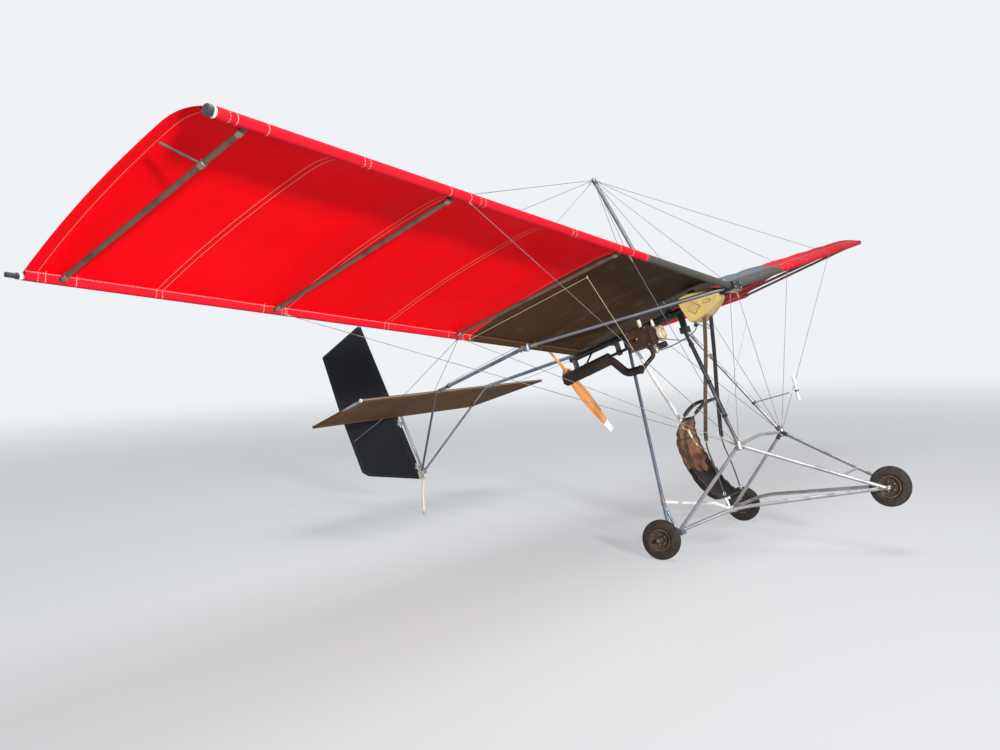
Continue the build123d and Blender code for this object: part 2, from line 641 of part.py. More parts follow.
# Fuel tank: a wedge between the root tubes behind the nose, moulded round the keel, with a square
# and an oval hollow in each flank.
TANK_SIDE = [
    (-715.0, 1650.0),
    (-700.0, 1742.0),
    (-600.0, 1766.0),
    (-410.0, 1760.0),
    (-396.0, 1690.0),
    (-440.0, 1535.0),
    (-475.0, 1528.0),
    (-612.0, 1578.0),
]
TANK_PLAN = [(-716.0, 58.0), (-396.0, 180.0)]
TANK_SQUARE = (76.0, 76.0)
TANK_OVAL = (30.0, 15.0)
TANK_HOLLOW = 6.0
with BuildPart() as tank:
    side_plane = plane((-300, 0, 0), (1, 0, 0), (0, 1, 0))
    with BuildSketch(side_plane) as side_sketch:
        with BuildLine():
            Polyline(*TANK_SIDE, close=True)
        make_face()
    extrude(side_sketch.sketch, amount=600)
    with BuildSketch(plane((0, 0, 1500))) as plan_sketch:
        with BuildLine():
            (y_front, half_front), (y_rear, half_rear) = TANK_PLAN
            front_edge = [(-half_front, y_front), (half_front, y_front)]
            Polyline(*front_edge, (half_rear, y_rear), (-half_rear, y_rear), close=True)
        make_face()
    extrude(plan_sketch.sketch, amount=300, mode=Mode.INTERSECT)
    for _, sign in SIDES:
        flank_run = (sign * (half_rear - half_front), y_rear - y_front, 0)
        flank_out = (sign * flank_run[1], -sign * flank_run[0], 0)
        for share, z, outline, turn in ((0.66, 1640.0, TANK_SQUARE, 45.0), (0.34, 1662.0, TANK_OVAL, 0.0)):
            front, rear = (sign * half_front, y_front, z), (sign * half_rear, y_rear, z)
            flank = plane(between(front, rear, share), flank_out, flank_run)
            with BuildSketch(flank.offset(-TANK_HOLLOW)) as hollow:
                with Locations(Rot(0, 0, turn)):
                    Ellipse(*outline) if outline is TANK_OVAL else Rectangle(*outline)
            extrude(hollow.sketch, amount=2 * TANK_HOLLOW, mode=Mode.SUBTRACT)
    cut(keel)
write(tank, "fuel_tank")

# Seat: a sling of cloth hung from below the tank by two pairs of straps.
SEAT_HALF = 190.0
SEAT_CLOTH = 5.0
SEAT_BEND = 60.0
SEAT_PROFILE = [
    (-126.0, 833.0),
    (-20.0, 705.0),
    (-24.0, 470.0),
    (-105.0, 235.0),
    (-200.0, 125.0),
    (-300.0, 150.0),
]
STRAP = (28.0, 3.0)
STRAP_INSET = 16.0
STRAP_TOP = (60.0, -560.0, 1640.0)
STRAP_SHARE = 0.5
with BuildPart() as seat:
    seat_plane = plane((-SEAT_HALF, 0, 0), (1, 0, 0), (0, 1, 0))
    with BuildSketch(seat_plane) as seat_sketch:
        with BuildLine() as seat_line:
            FilletPolyline(*SEAT_PROFILE, radius=SEAT_BEND)
        trace(line_width=SEAT_CLOTH)
    extrude(seat_sketch.sketch, amount=2 * SEAT_HALF)
write(seat, "seat_sling")

with BuildPart() as seat_straps:
    for _, sign in SIDES:
        seat_front = (sign * (SEAT_HALF - STRAP_INSET), *SEAT_PROFILE[-1])
        seat_back = (sign * (SEAT_HALF - STRAP_INSET), *SEAT_PROFILE[0])
        hang = on_side(STRAP_TOP, sign)
        strap(hang, seat_front, *STRAP)
        strap(between(hang, seat_front, STRAP_SHARE), seat_back, *STRAP)
    cut(seat, tank, keel, *root_tubes.values(), *front_tubes.values())
write(seat_straps, "seat_straps")

# Tail post under the stabilizer, with the hinge rings and the skid.
def hinge_at(z):
    return line_at(RUDDER_FOOT, RUDDER_HEAD, 2, z)


def post_at(z):
    hinge = hinge_at(z)
    return (hinge[0], hinge[1] - POST_AHEAD, hinge[2])


rake = tuple(b - a for a, b in zip(RUDDER_FOOT, RUDDER_HEAD))
skid_ground = RIG.to_local_coords(Vector(SKID_SIDE, SKID_GROUND_Y - CENTRE_Y, SKID_FOOT))
with BuildPart() as rudder_post:
    tube([post_at(POST_FOOT_Z), (0, *STAB_REAR[1:])], TAIL_TUBE)
    block(post_at(POST_SOCKET_Z), POST_SOCKET, rake)
    for z in HINGE_HEIGHTS:
        post(hinge_at(z), *HINGE_RING, rake)
        block(between(hinge_at(z), post_at(z), 0.55), HINGE_TONGUE, rake)
    skid_top = (SKID_SIDE, *post_at(POST_SOCKET_Z)[1:])
    tube([skid_top, SKID_KNEE, tuple(skid_ground)], SKID_ROD, SKID_BEND)
    with Locations(point(tuple(skid_ground))):
        Sphere(SKID_FOOT)
    cut(stabilizer)
    for z in HINGE_HEIGHTS:
        post(hinge_at(z), TAIL_TUBE / 2 + HINGE_GAP, 80, rake, Mode.SUBTRACT)
write(rudder_post, "rudder_post")

with BuildPart() as rudder_frame:
    tube([RUDDER_FOOT, RUDDER_HEAD], TAIL_TUBE)
    tube([RUDDER_HEAD, *RUDDER_REAR, RUDDER_FOOT], RUDDER_TUBE)
    rib_rear = line_at(RUDDER_REAR[2], RUDDER_REAR[1], 2, RUDDER_RIB[1])
    tube([hinge_at(RUDDER_RIB[0]), rib_rear], RUDDER_RIB_TUBE)
write(rudder_frame, "rudder_frame")

with BuildPart() as rudder_skin:
    skin_plane = plane((-RUDDER_SKIN / 2, 0, 0), (1, 0, 0), (0, 1, 0))
    with BuildSketch(skin_plane) as skin_sketch:
        with BuildLine():
            outline = [place[1:] for place in (RUDDER_HEAD, *RUDDER_REAR, RUDDER_FOOT)]
            Polyline(*outline, close=True)
        make_face()
    extrude(skin_sketch.sketch, amount=RUDDER_SKIN)
    cut(rudder_frame)
    for z in HINGE_HEIGHTS:
        post(hinge_at(z), 30, 48, rake, Mode.SUBTRACT)
write(rudder_skin, "rudder_skin")

for side, sign in SIDES:
    with BuildPart() as tail_strut:
        socket_side = (20, *post_at(POST_SOCKET_Z + 2)[1:])
        tube([on_side(STAB_BOOM, sign), on_side(socket_side, sign)], TAIL_STRUT)
        cut(stabilizer, stabilizer_skin, booms[side], rudder_post)
    write(tail_strut, f"tail_strut_{side}")

# Airspeed tube on an arm from the port front tube.
AIRSPEED_FOOT, AIRSPEED_TOP = (400.0, -904.0, 715.0), (400.0, -918.0, 913.0)
AIRSPEED_TUBE, AIRSPEED_ARM, AIRSPEED_SHARE = 24.0, 10.0, 0.709
with BuildPart() as airspeed:
    arm_foot = between(APEX, FOOT_CORNER, AIRSPEED_SHARE)
    tube([arm_foot, between(AIRSPEED_FOOT, AIRSPEED_TOP, 0.39)], AIRSPEED_ARM)
    tube([AIRSPEED_FOOT, AIRSPEED_TOP], AIRSPEED_TUBE)
    cut(front_tubes["left"])
write(airspeed, "airspeed_indicator")

# Main stays: below the wing to the foot bar, above it to the kingpost, and aft to the stabilizer.
STAY_INBOARD = 30.0
TAIL_STAY_XS = (BOOM_END_X + 36, 860.0)
with BuildPart() as stays:
    for side, sign in SIDES:
        for place in ("inner", "middle"):
            station = STRUTS[place] - STAY_INBOARD
            front = on_side(line_at(NOSE, LE_TIP, 0, station), sign)
            rear = on_side(line_at(TE_ROOT, TE_TIP, 0, station), sign)
            for end in (front, rear):
                tube([on_side(FOOT_CORNER, sign), end], STAY_WIRE)
                tube([KINGPOST_TOP, end], STAY_WIRE)
        for tail_x in TAIL_STAY_XS:
            wing_end = line_at(TE_ROOT, TE_TIP, 0, STRUTS["inner"] - 2 * STAY_INBOARD)
            tube([on_side(wing_end, sign), (sign * tail_x, *STAB_FRONT[1:])], STAY_WIRE)
        tube([on_side(FOOT_CORNER, sign), (sign * (NOSE_BLOCK[0] / 2 - 25), *NOSE[1:])], STAY_WIRE)
    tube([KINGPOST_TOP, NOSE], STAY_WIRE)
    cut(kingpost, keel, foot_bar, stabilizer, *leading_edges.values(), *trailing_edges.values())
    cut(*sails.values(), *wing_struts.values(), *front_tubes.values(), *root_tubes.values())
write(stays, "stay_wires")
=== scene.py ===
import json

import bmesh
import bpy
import numpy as np
from mathutils import Matrix


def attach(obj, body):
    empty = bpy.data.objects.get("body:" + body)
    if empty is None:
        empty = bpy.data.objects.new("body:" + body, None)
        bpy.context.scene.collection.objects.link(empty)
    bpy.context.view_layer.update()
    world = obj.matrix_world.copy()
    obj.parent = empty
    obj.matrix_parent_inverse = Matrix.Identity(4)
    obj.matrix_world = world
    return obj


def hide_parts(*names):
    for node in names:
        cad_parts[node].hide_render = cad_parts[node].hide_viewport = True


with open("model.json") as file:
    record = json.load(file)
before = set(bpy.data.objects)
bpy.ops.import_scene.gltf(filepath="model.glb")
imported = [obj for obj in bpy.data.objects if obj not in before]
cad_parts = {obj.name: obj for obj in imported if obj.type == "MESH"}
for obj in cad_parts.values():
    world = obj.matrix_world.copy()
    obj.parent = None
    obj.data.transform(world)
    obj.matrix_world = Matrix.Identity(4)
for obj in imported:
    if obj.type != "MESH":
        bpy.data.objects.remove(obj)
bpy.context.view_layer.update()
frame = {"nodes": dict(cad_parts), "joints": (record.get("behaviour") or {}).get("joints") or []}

# The camera stands ahead of the near wing tip, at eye height, and looks back along the whole machine.
CAMERA_AT = (-7.597, -4.509, 1.700)
CAMERA_YAW, CAMERA_PITCH, CAMERA_ROLL = 0.5978, -0.0382, -0.0409
CAMERA_LENS, CAMERA_SENSOR = 36.24, 36.0  # millimetres


def aimed(place, yaw, pitch, roll=0.0):
    """The matrix of a camera or lamp: its back is the direction of yaw and pitch, reversed."""
    ahead = np.array((np.cos(yaw) * np.cos(pitch), np.sin(yaw) * np.cos(pitch), np.sin(pitch)))
    right = np.array((np.sin(yaw), -np.cos(yaw), 0.0))
    top = np.cross(right, ahead)
    rolled_right = right * np.cos(roll) + top * np.sin(roll)
    rolled_top = top * np.cos(roll) - right * np.sin(roll)
    matrix = np.eye(4)
    matrix[:3] = np.column_stack((rolled_right, rolled_top, -ahead, place))
    return Matrix(matrix.tolist())


camera = bpy.data.objects.new("camera", bpy.data.cameras.new("camera"))
camera.data.lens = CAMERA_LENS
camera.data.sensor_width = CAMERA_SENSOR
camera.matrix_world = aimed(CAMERA_AT, CAMERA_YAW, CAMERA_PITCH, CAMERA_ROLL)
bpy.context.scene.collection.objects.link(camera)
bpy.context.scene.camera = camera
bpy.context.scene.view_settings.view_transform = "Standard"


# A pale studio: a wide floor that fades into an even pale backdrop, one low soft key from the wing
# tip's side, which lights the wing from below, and a soft fill from above.
FLOOR_RADIUS, FLOOR_RINGS, FLOOR_SPOKES = 90.0, 12, 48
FLOOR_FADE = (5.0, 26.0)
FLOOR_GLOW = 0.50
FLOOR_COLOUR = (0.50, 0.505, 0.51)
BACKDROP = (0.86, 0.89, 0.92)
SKY_COLOUR, SKY_STRENGTH = (0.93, 0.96, 1.0), 0.30
LAMPS = {
    # place, yaw and pitch of its aim in degrees, width, height, watts
    "key": ((-9.5, -13.5, 4.5), (62.6, -7.8), (1.8, 1.0), 3200.0),
    "fill": ((-1.0, -2.0, 9.0), (90.0, -80.0), (4.5, 4.5), 520.0),
}


class Value:
    """A number or colour that changes over a surface. Each operator adds one Math node."""

    def __init__(self, finish, socket):
        self.finish, self.socket = finish, socket

    def math(self, operation, first, second):
        return self.finish.node("ShaderNodeMath", {"operation": operation}, {0: first, 1: second})

    def __add__(self, other):
        return self.math("ADD", self, other)

    def __sub__(self, other):
        return self.math("SUBTRACT", self, other)

    def __rsub__(self, other):
        return self.math("SUBTRACT", other, self)

    def __mul__(self, other):
        return self.math("MULTIPLY", self, other)

    def __pow__(self, other):
        return self.math("POWER", self, other)

    def __abs__(self):
        return self.math("ABSOLUTE", self, 0.0)

    def least(self, other):
        return self.math("MINIMUM", self, other)

    def most(self, other):
        return self.math("MAXIMUM", self, other)

    def wave(self, length):
        """0 to 1 and back over each length."""
        return (self * (2 * np.pi / length)).sine() * 0.5 + 0.5

    def nearest(self, pitch):
        """The distance to the nearest whole multiple of the pitch."""
        return self.math("PINGPONG", self, pitch / 2)

    def turn(self, other):
        """The angle of the vector (this, other) in radians."""
        return self.math("ARCTAN2", other, self)

    def sine(self):
        return self.math("SINE", self, 0.0)

    def rise(self, low, high):
        """0 below low, 1 above high and smooth between; low may be the larger."""
        values = {"Value": self, "From Min": low, "From Max": high}
        return self.finish.node("ShaderNodeMapRange", {"interpolation_type": "SMOOTHSTEP"}, values)

    __radd__, __rmul__ = __add__, __mul__


class Finish:
    """A material. Its constants are set on the shader's own sockets, and wear() links what varies."""

    def __init__(self, name, colour, roughness, metallic=0.0, **constants):
        self.material = bpy.data.materials.new(name)
        self.material.use_nodes = True
        self.nodes, self.links = self.material.node_tree.nodes, self.material.node_tree.links
        self.shader = self.nodes["Principled BSDF"]
        self.shader.inputs["Base Color"].default_value = (*colour, 1.0)
        self.shader.inputs["Roughness"].default_value = roughness
        self.shader.inputs["Metallic"].default_value = metallic
        for socket, value in constants.items():
            self.shader.inputs[socket.replace("_", " ")].default_value = value

    def node(self, kind, settings=None, values=None, output=0):
        """Any node: its settings first, then the values or links of its sockets."""
        made = self.nodes.new(kind)
        for setting, value in (settings or {}).items():
            setattr(made, setting, value)
        for socket, value in (values or {}).items():
            if isinstance(value, Value):
                self.links.new(value.socket, made.inputs[socket])
            else:
                made.inputs[socket].default_value = value
        return Value(self, made.outputs[output])

    def place(self, stretch=(1, 1, 1)):
        """Object coordinates, each multiplied by its stretch."""
        coordinates = self.node("ShaderNodeTexCoord", output="Object")
        return self.node("ShaderNodeMapping", {}, {"Vector": coordinates, "Scale": stretch})

    def reach(self, centre):
        """The vector from a centre to each point."""
        return self.node("ShaderNodeVectorMath", {"operation": "SUBTRACT"}, {0: self.place(), 1: tuple(centre)})

    def along(self, reach, way):
        """How far a vector goes in a direction: their dot product."""
        values = {0: reach, 1: tuple(way)}
        return self.node("ShaderNodeVectorMath", {"operation": "DOT_PRODUCT"}, values, output="Value")

    def axis(self, letter, place=None):
        """One coordinate in metres, of the object or of a given vector."""
        place = place or self.node("ShaderNodeTexCoord", output="Object")
        return self.node("ShaderNodeSeparateXYZ", {}, {0: place}, output=letter)

    def noise(self, scale, detail=3.0, stretch=(1, 1, 1)):
        return self.node("ShaderNodeTexNoise", {}, {"Vector": self.place(stretch), "Scale": scale, "Detail": detail})

    def weave(self, scale, warp=(1, 0.3, 1), weft=(0.3, 1, 0.3)):
        """Fine noise drawn out along the warp and fine noise drawn out along the weft, half each."""
        return self.noise(scale, 1.0, stretch=warp) * 0.5 + self.noise(scale, 1.0, stretch=weft) * 0.5

    def mix(self, amount, first, second):
        """One colour over another by a mask. A colour is three numbers or a link."""
        colours = [c if isinstance(c, Value) else (*c, 1.0) for c in (first, second)]
        values = {0: amount, 6: colours[0], 7: colours[1]}
        return self.node("ShaderNodeMix", {"data_type": "RGBA"}, values, output=2)

    def wear(self, colour=None, roughness=None, metallic=None, bump=None, depth=0.001):
        """Links what varies: colour, roughness, metalness, and a height of 0 to 1 times depth."""
        for socket, value in (("Base Color", colour), ("Roughness", roughness), ("Metallic", metallic)):
            if value is not None:
                self.links.new(value.socket, self.shader.inputs[socket])
        if bump is not None:
            normal = self.node("ShaderNodeBump", {}, {"Height": bump, "Distance": depth})
            self.links.new(normal.socket, self.shader.inputs["Normal"])
        return self


def grid(points, wrap_rows=False, wrap_columns=False):
    """A surface of quads between neighbours of a (rows, columns, 3) array, as (points, quads)."""
    rows, columns = points.shape[:2]
    number = np.arange(rows * columns).reshape(rows, columns)
    if wrap_rows:
        number = np.vstack((number, number[:1]))
    if wrap_columns:
        number = np.hstack((number, number[:, :1]))
    quads = np.stack((number[:-1, :-1], number[:-1, 1:], number[1:, 1:], number[1:, :-1]), -1)
    return points.reshape(-1, 3), quads.reshape(-1, 4)


def meshed(name, points, quads, marks, finishes):
    """A mesh object from arrays, with one finish number a face."""
    mesh = bpy.data.meshes.new(name)
    mesh.vertices.add(len(points))
    mesh.vertices.foreach_set("co", points.astype(np.float32).ravel())
    mesh.loops.add(quads.size)
    mesh.loops.foreach_set("vertex_index", quads.ravel().astype(np.int32))
    mesh.polygons.add(len(quads))
    mesh.polygons.foreach_set("loop_start", np.arange(0, quads.size, 4, dtype=np.int32))
    for finish in finishes:
        mesh.materials.append(finish.material)
    mesh.polygons.foreach_set("material_index", marks.astype(np.int32))
    mesh.update(calc_edges=True)
    made = bpy.data.objects.new(name, mesh)
    bpy.context.scene.collection.objects.link(made)
    return made


floor_finish = Finish("floor", FLOOR_COLOUR, 0.9, Specular_IOR_Level=0.1)
reach = floor_finish.node("ShaderNodeVectorMath", {"operation": "LENGTH"}, {0: floor_finish.place()}, output="Value")
rays = floor_finish.nodes.new("ShaderNodeLightPath")
seen = Value(floor_finish, rays.outputs["Is Camera Ray"]).most(Value(floor_finish, rays.outputs["Is Glossy Ray"]))
glow = floor_finish.node("ShaderNodeEmission", {}, {"Color": (*BACKDROP, 1.0), "Strength": 1.0})
glow_share = (FLOOR_GLOW + (1 - FLOOR_GLOW) * reach.rise(*FLOOR_FADE)) * seen
plain_floor = Value(floor_finish, floor_finish.shader.outputs[0])
faded = floor_finish.node("ShaderNodeMixShader", {}, {0: glow_share, 1: plain_floor, 2: glow})
floor_finish.links.new(faded.socket, floor_finish.nodes["Material Output"].inputs["Surface"])

rings, spokes = np.linspace(0, 1, FLOOR_RINGS + 1) ** 2, np.linspace(0, 2 * np.pi, FLOOR_SPOKES + 1)
ring, spoke = np.meshgrid(FLOOR_RADIUS * rings, spokes, indexing="ij")
floor = meshed(
    "floor", *grid(np.stack((ring * np.cos(spoke), ring * np.sin(spoke), 0 * ring), -1)),
    np.zeros(FLOOR_RINGS * FLOOR_SPOKES), [floor_finish],
)

world = bpy.data.worlds.new("studio")
world.use_nodes = True
bpy.context.scene.world = world
sky, sky_links = world.node_tree.nodes, world.node_tree.links
sky["Background"].inputs["Color"].default_value = (*SKY_COLOUR, 1.0)
sky["Background"].inputs["Strength"].default_value = SKY_STRENGTH
backdrop = sky.new("ShaderNodeBackground")
backdrop.inputs["Color"].default_value = (*BACKDROP, 1.0)
sky_rays, either, sky_mix = sky.new("ShaderNodeLightPath"), sky.new("ShaderNodeMath"), sky.new("ShaderNodeMixShader")
either.operation = "MAXIMUM"
sky_links.new(sky_rays.outputs["Is Camera Ray"], either.inputs[0])
sky_links.new(sky_rays.outputs["Is Glossy Ray"], either.inputs[1])
sky_links.new(either.outputs[0], sky_mix.inputs[0])
sky_links.new(sky["Background"].outputs[0], sky_mix.inputs[1])
sky_links.new(backdrop.outputs[0], sky_mix.inputs[2])
sky_links.new(sky_mix.outputs[0], sky["World Output"].inputs["Surface"])

for name, (place, (yaw, pitch), (width, height), watts) in LAMPS.items():
    lamp = bpy.data.objects.new(name, bpy.data.lights.new(name, "AREA"))
    lamp.data.shape = "RECTANGLE"
    lamp.data.size, lamp.data.size_y = width, height
    lamp.data.energy = watts
    lamp.matrix_world = aimed(place, np.radians(yaw), np.radians(pitch))
    lamp.visible_camera = False
    bpy.context.scene.collection.objects.link(lamp)


# Bare tubes: drawn aluminium with fine lengthwise drawing marks, dull spots and a little grime. The
# struts, booms, keel and kingpost are duller, darker tubes, and the stays are stranded steel wire.
# Some tubes carry painted light: a near-white painted sun reflection on the cross brace and the port
# rear leg, painted shade on the port root tube, and painted light and shade on the two tail struts.
TUBE_GRIME = (0.09, 0.075, 0.06)
DARK_PLUG_FROM, DARK_PLUG = 4.874, (0.022, 0.026, 0.036)


def dress(finish, *names):
    """Gives the CAD nodes whose names start with these this finish."""
    for node_name, node in frame["nodes"].items():
        if node_name.startswith(names):
            for material_slot in node.material_slots:
                material_slot.material = finish.material


def tube_finish(name, bright, dull, roughness, metallic=0.9, plug_from=None):
    """Fine scratches from stretched noise over cloudy dull patches and small dark specks. Beyond
    plug_from along X the tube shows its dark plug."""
    finish = Finish(name, bright, roughness, metallic)
    clouds = finish.noise(9.0, 4.0).rise(0.42, 0.68)
    marks = finish.noise(260.0, 2.0, stretch=(1, 0.12, 0.12)).rise(0.35, 0.7)
    specks = finish.noise(95.0, 3.0).rise(0.66, 0.74)
    colour = finish.mix(specks * 0.7, finish.mix(clouds * 0.8, bright, dull), TUBE_GRIME)
    shine = metallic - 0.5 * specks
    if plug_from:
        beyond = abs(finish.axis("X")).rise(plug_from - 0.0005, plug_from + 0.0005)
        colour, shine = finish.mix(beyond, colour, DARK_PLUG), shine * (1 - 0.9 * beyond)
    return finish.wear(colour, roughness + 0.2 * clouds + 0.1 * marks, shine, marks, 0.0002)


bright_tube = tube_finish("bright_tube", (0.40, 0.395, 0.41), (0.24, 0.24, 0.25), 0.40)
trailing_tube = tube_finish("trailing_tube", (0.40, 0.395, 0.41), (0.24, 0.24, 0.25), 0.40, 0.9, DARK_PLUG_FROM)
# Near white and barely metallic: a painted sun reflection, not the tube's own colour.
painted_sun_glint_tube = tube_finish("painted_sun_glint_tube", (0.92, 0.91, 0.88), (0.74, 0.73, 0.70), 0.30, 0.35)
grey_tube = tube_finish("grey_tube", (0.21, 0.22, 0.25), (0.13, 0.14, 0.16), 0.42)
dark_tube = tube_finish("dark_tube", (0.13, 0.135, 0.15), (0.075, 0.08, 0.09), 0.44)
blue_tube = tube_finish("blue_tube", (0.20, 0.245, 0.31), (0.12, 0.15, 0.19), 0.38)
brown_tube = tube_finish("brown_tube", (0.15, 0.105, 0.075), (0.075, 0.052, 0.038), 0.52, 0.5)
keel_and_painted_shade = tube_finish("keel_tube", (0.045, 0.062, 0.066), (0.028, 0.036, 0.038), 0.42)
wire_finish = tube_finish("wire", (0.22, 0.215, 0.21), (0.12, 0.115, 0.11), 0.40, 0.7)
steel = tube_finish("steel", (0.40, 0.38, 0.35), (0.22, 0.20, 0.18), 0.36)
dress(
    bright_tube, "foot_bar", "foot_peg", "front_down_tube_left", "leading_edge", "lower_nose_strut",
    "rudder_frame", "rudder_post", "side_strut", "stabilizer_frame", "upper_nose_strut",
)
dress(trailing_tube, "trailing_edge")
# The port tail strut is grey and the starboard one dark: painted light and painted shade on like tubes.
dress(grey_tube, "kingpost", "root_tube_right", "tail_strut_left")
dress(dark_tube, "front_down_tube_right", "shaft_bearings", "tail_strut_right")
dress(blue_tube, "rear_leg_right", "tail_boom")
dress(brown_tube, "wing_strut")
# The port root tube takes the keel's near-black finish as painted shade; the keel itself is dark.
dress(keel_and_painted_shade, "keel_tube", "root_tube_left")
# Painted sun reflection: the cross brace and the port rear leg are drawn near white.
dress(painted_sun_glint_tube, "cross_brace", "rear_leg_left")
dress(steel, "nose_axle")
dress(wire_finish, "stay_wires")


# The machine is laid out level, as it flies, from its main axle. On the ground it is tipped back onto
# its tail skid about that axle, whose place is read from the right wheel's joint.
PARKED_PITCH = np.radians(16.7)
joints = {joint["name"]: joint for joint in frame["joints"]}
AXLE = np.array(joints["right_wheel_spin"]["pos_m"]) * (0, 1, 1)
SIDES = {"right": -1, "left": 1}


def park(places):
    """Level places (x, y, z) turned by the parked pitch about the axle: y and z rotate, x stays."""
    x, y, z = np.moveaxis(np.asarray(places, float), -1, 0)
    along = y * np.cos(PARKED_PITCH) + z * np.sin(PARKED_PITCH)
    height = z * np.cos(PARKED_PITCH) - y * np.sin(PARKED_PITCH)
    return np.stack((x, along, height), -1) + AXLE


def unit(vector):
    return vector / np.linalg.norm(vector, axis=-1, keepdims=True)


def between(start, end, part):
    """The place this part of the way from start to end, for one part or for many."""
    start, end = np.asarray(start, float), np.asarray(end, float)
    return start + (end - start) * np.expand_dims(np.asarray(part, float), -1)


# Sails: one coated cloth a side, red outboard and dark inboard, sewn from panels with double rows of
# light stitches. The cloth is folded round the leading edge and the trailing edge and sewn to itself.
NOSE, LE_TIP = (0.0, -0.812, 1.705), (4.875, -0.726, 2.393)
TE_ROOT, TE_TIP = (0.0, 0.690, 1.640), (4.935, 0.800, 2.268)
SAIL_ENDS = (0.0015, 4.850)
CAMBER, CREST_AT = 0.070, 0.20
LE_WRAP, TE_WRAP = 0.0272, 0.0182
LE_SLEEVE, TE_HEM, TIP_HEM = 0.085, 0.034, 0.065
CLOTH = 0.0012
SHEET_ROWS, SHEET_STATIONS = 34, 150
SEAMS = (0.48, 1.365, 2.266, 3.149, 4.009)
SEAM_SLANT, SEAM_GAP = 0.062, 0.019
STRUTS = {"inner": 1.651, "middle": 3.332, "outer": 4.668}
COLOUR_SEAM = SEAMS[1]
SLEEVE_WALK, HEM_WALK = 0.290, 0.110
PATCH = 0.080
STITCH = 0.014
RED_THREAD, STAIN, HEM_BROWN = (0.86, 0.42, 0.34), (0.12, 0.085, 0.045), (0.050, 0.030, 0.014)


def rib(x):
    """At span x: the two tubes' places, the chord's direction, the normal to it, and the chord's length."""
    front = between(NOSE, LE_TIP, x / LE_TIP[0])
    rear = between(TE_ROOT, TE_TIP, x / TE_TIP[0])
    chord = (rear - front) * (0, 1, 1)
    length = np.linalg.norm(chord, axis=-1, keepdims=True)
    along = chord / length
    up = np.cross((1.0, 0.0, 0.0), along)
    return front, rear, along, up, length[..., 0]


def camber_height(part):
    """Two parabolas that meet level at the crest: height over the chord line, as a share of the chord."""
    rise = CAMBER / CREST_AT**2 * (2 * CREST_AT * part - part**2)
    fall = CAMBER / (1 - CREST_AT) ** 2 * (1 - 2 * CREST_AT + 2 * CREST_AT * part - part**2)
    return np.where(part < CREST_AT, rise, fall)


def billow(x, part):
    """Slack between panel seams and fittings: long soft waves along the span that die at both tubes,
    with shorter puckers that fan out from the strut ends towards the trailing edge."""
    fade = np.sin(np.pi * np.clip(part, 0, 1)) ** 0.8
    panels = 0.005 * np.cos(2 * np.pi * (x - SEAMS[0]) / 0.84)
    slant = 0.0025 * np.sin(2 * np.pi * (x / 0.61 + 0.35 * part))
    slant = slant + 0.0018 * np.sin(2 * np.pi * (x / 0.29 - 0.6 * part))
    pucker = 0
    for station in STRUTS.values():
        away = np.abs(x - station)
        pucker = pucker + 0.0022 * np.exp(-(away / 0.25) ** 2) * np.sin(2 * np.pi * away / 0.085) * part**2
    return fade * (panels + slant) + pucker * np.sin(np.pi * np.clip(part, 0, 1)) ** 0.3


spans = np.unique(np.concatenate((np.linspace(*SAIL_ENDS, SHEET_STATIONS), SEAMS, list(STRUTS.values()))))


def section(x):
    """The cloth's path round one rib: sleeve seam, under and round the front tube, over the camber,
    round the rear tube and forward to the hem seam. Gives places and distances from the leading edge."""
    front, rear, along, up, chord = (np.expand_dims(v, 1) for v in rib(x))
    chord = chord[..., None]

    def sheet(part):
        part = part[None, :, None]
        base = LE_WRAP + (TE_WRAP - LE_WRAP) * part
        height = base + camber_height(part) * chord + billow(x[:, None, None], part)
        return front + along * chord * part + up * height

    def round_tube(centre, radius, start, end, steps):
        angle = np.radians(np.linspace(start, end, steps))[None, :, None]
        return centre + radius * (along * np.cos(angle) + up * np.sin(angle))

    def under(part, wrap):
        return up * (wrap + camber_height(part) * chord - 2 * CLOTH + billow(x[:, None, None], part))

    first_part, last_part = LE_SLEEVE / chord, 1 - TE_HEM / chord
    sleeve_seam = front + along * LE_SLEEVE + under(first_part, LE_WRAP)
    hem_seam = front + along * chord * last_part + under(last_part, TE_WRAP)
    under_front = round_tube(front, LE_WRAP, 325, 125, 14)
    flap = sleeve_seam + (under_front[:, :1] - sleeve_seam) * np.linspace(0, 1, 6)[None, :-1, None]
    parts = 0.5 - 0.5 * np.cos(np.pi * np.linspace(0.06, 1, SHEET_ROWS))
    main = sheet(parts)
    under_rear = round_tube(rear, TE_WRAP, 78, -151, 13)
    hem = under_rear[:, -1:] + (hem_seam - under_rear[:, -1:]) * np.linspace(0, 1, 6)[None, 1:, None]
    path = np.concatenate((flap, under_front, main, under_rear, hem), 1)
    steps = np.linalg.norm(np.diff(path, axis=1), axis=-1)
    return path, np.concatenate((np.zeros((len(x), 1)), np.cumsum(steps, 1)), 1)


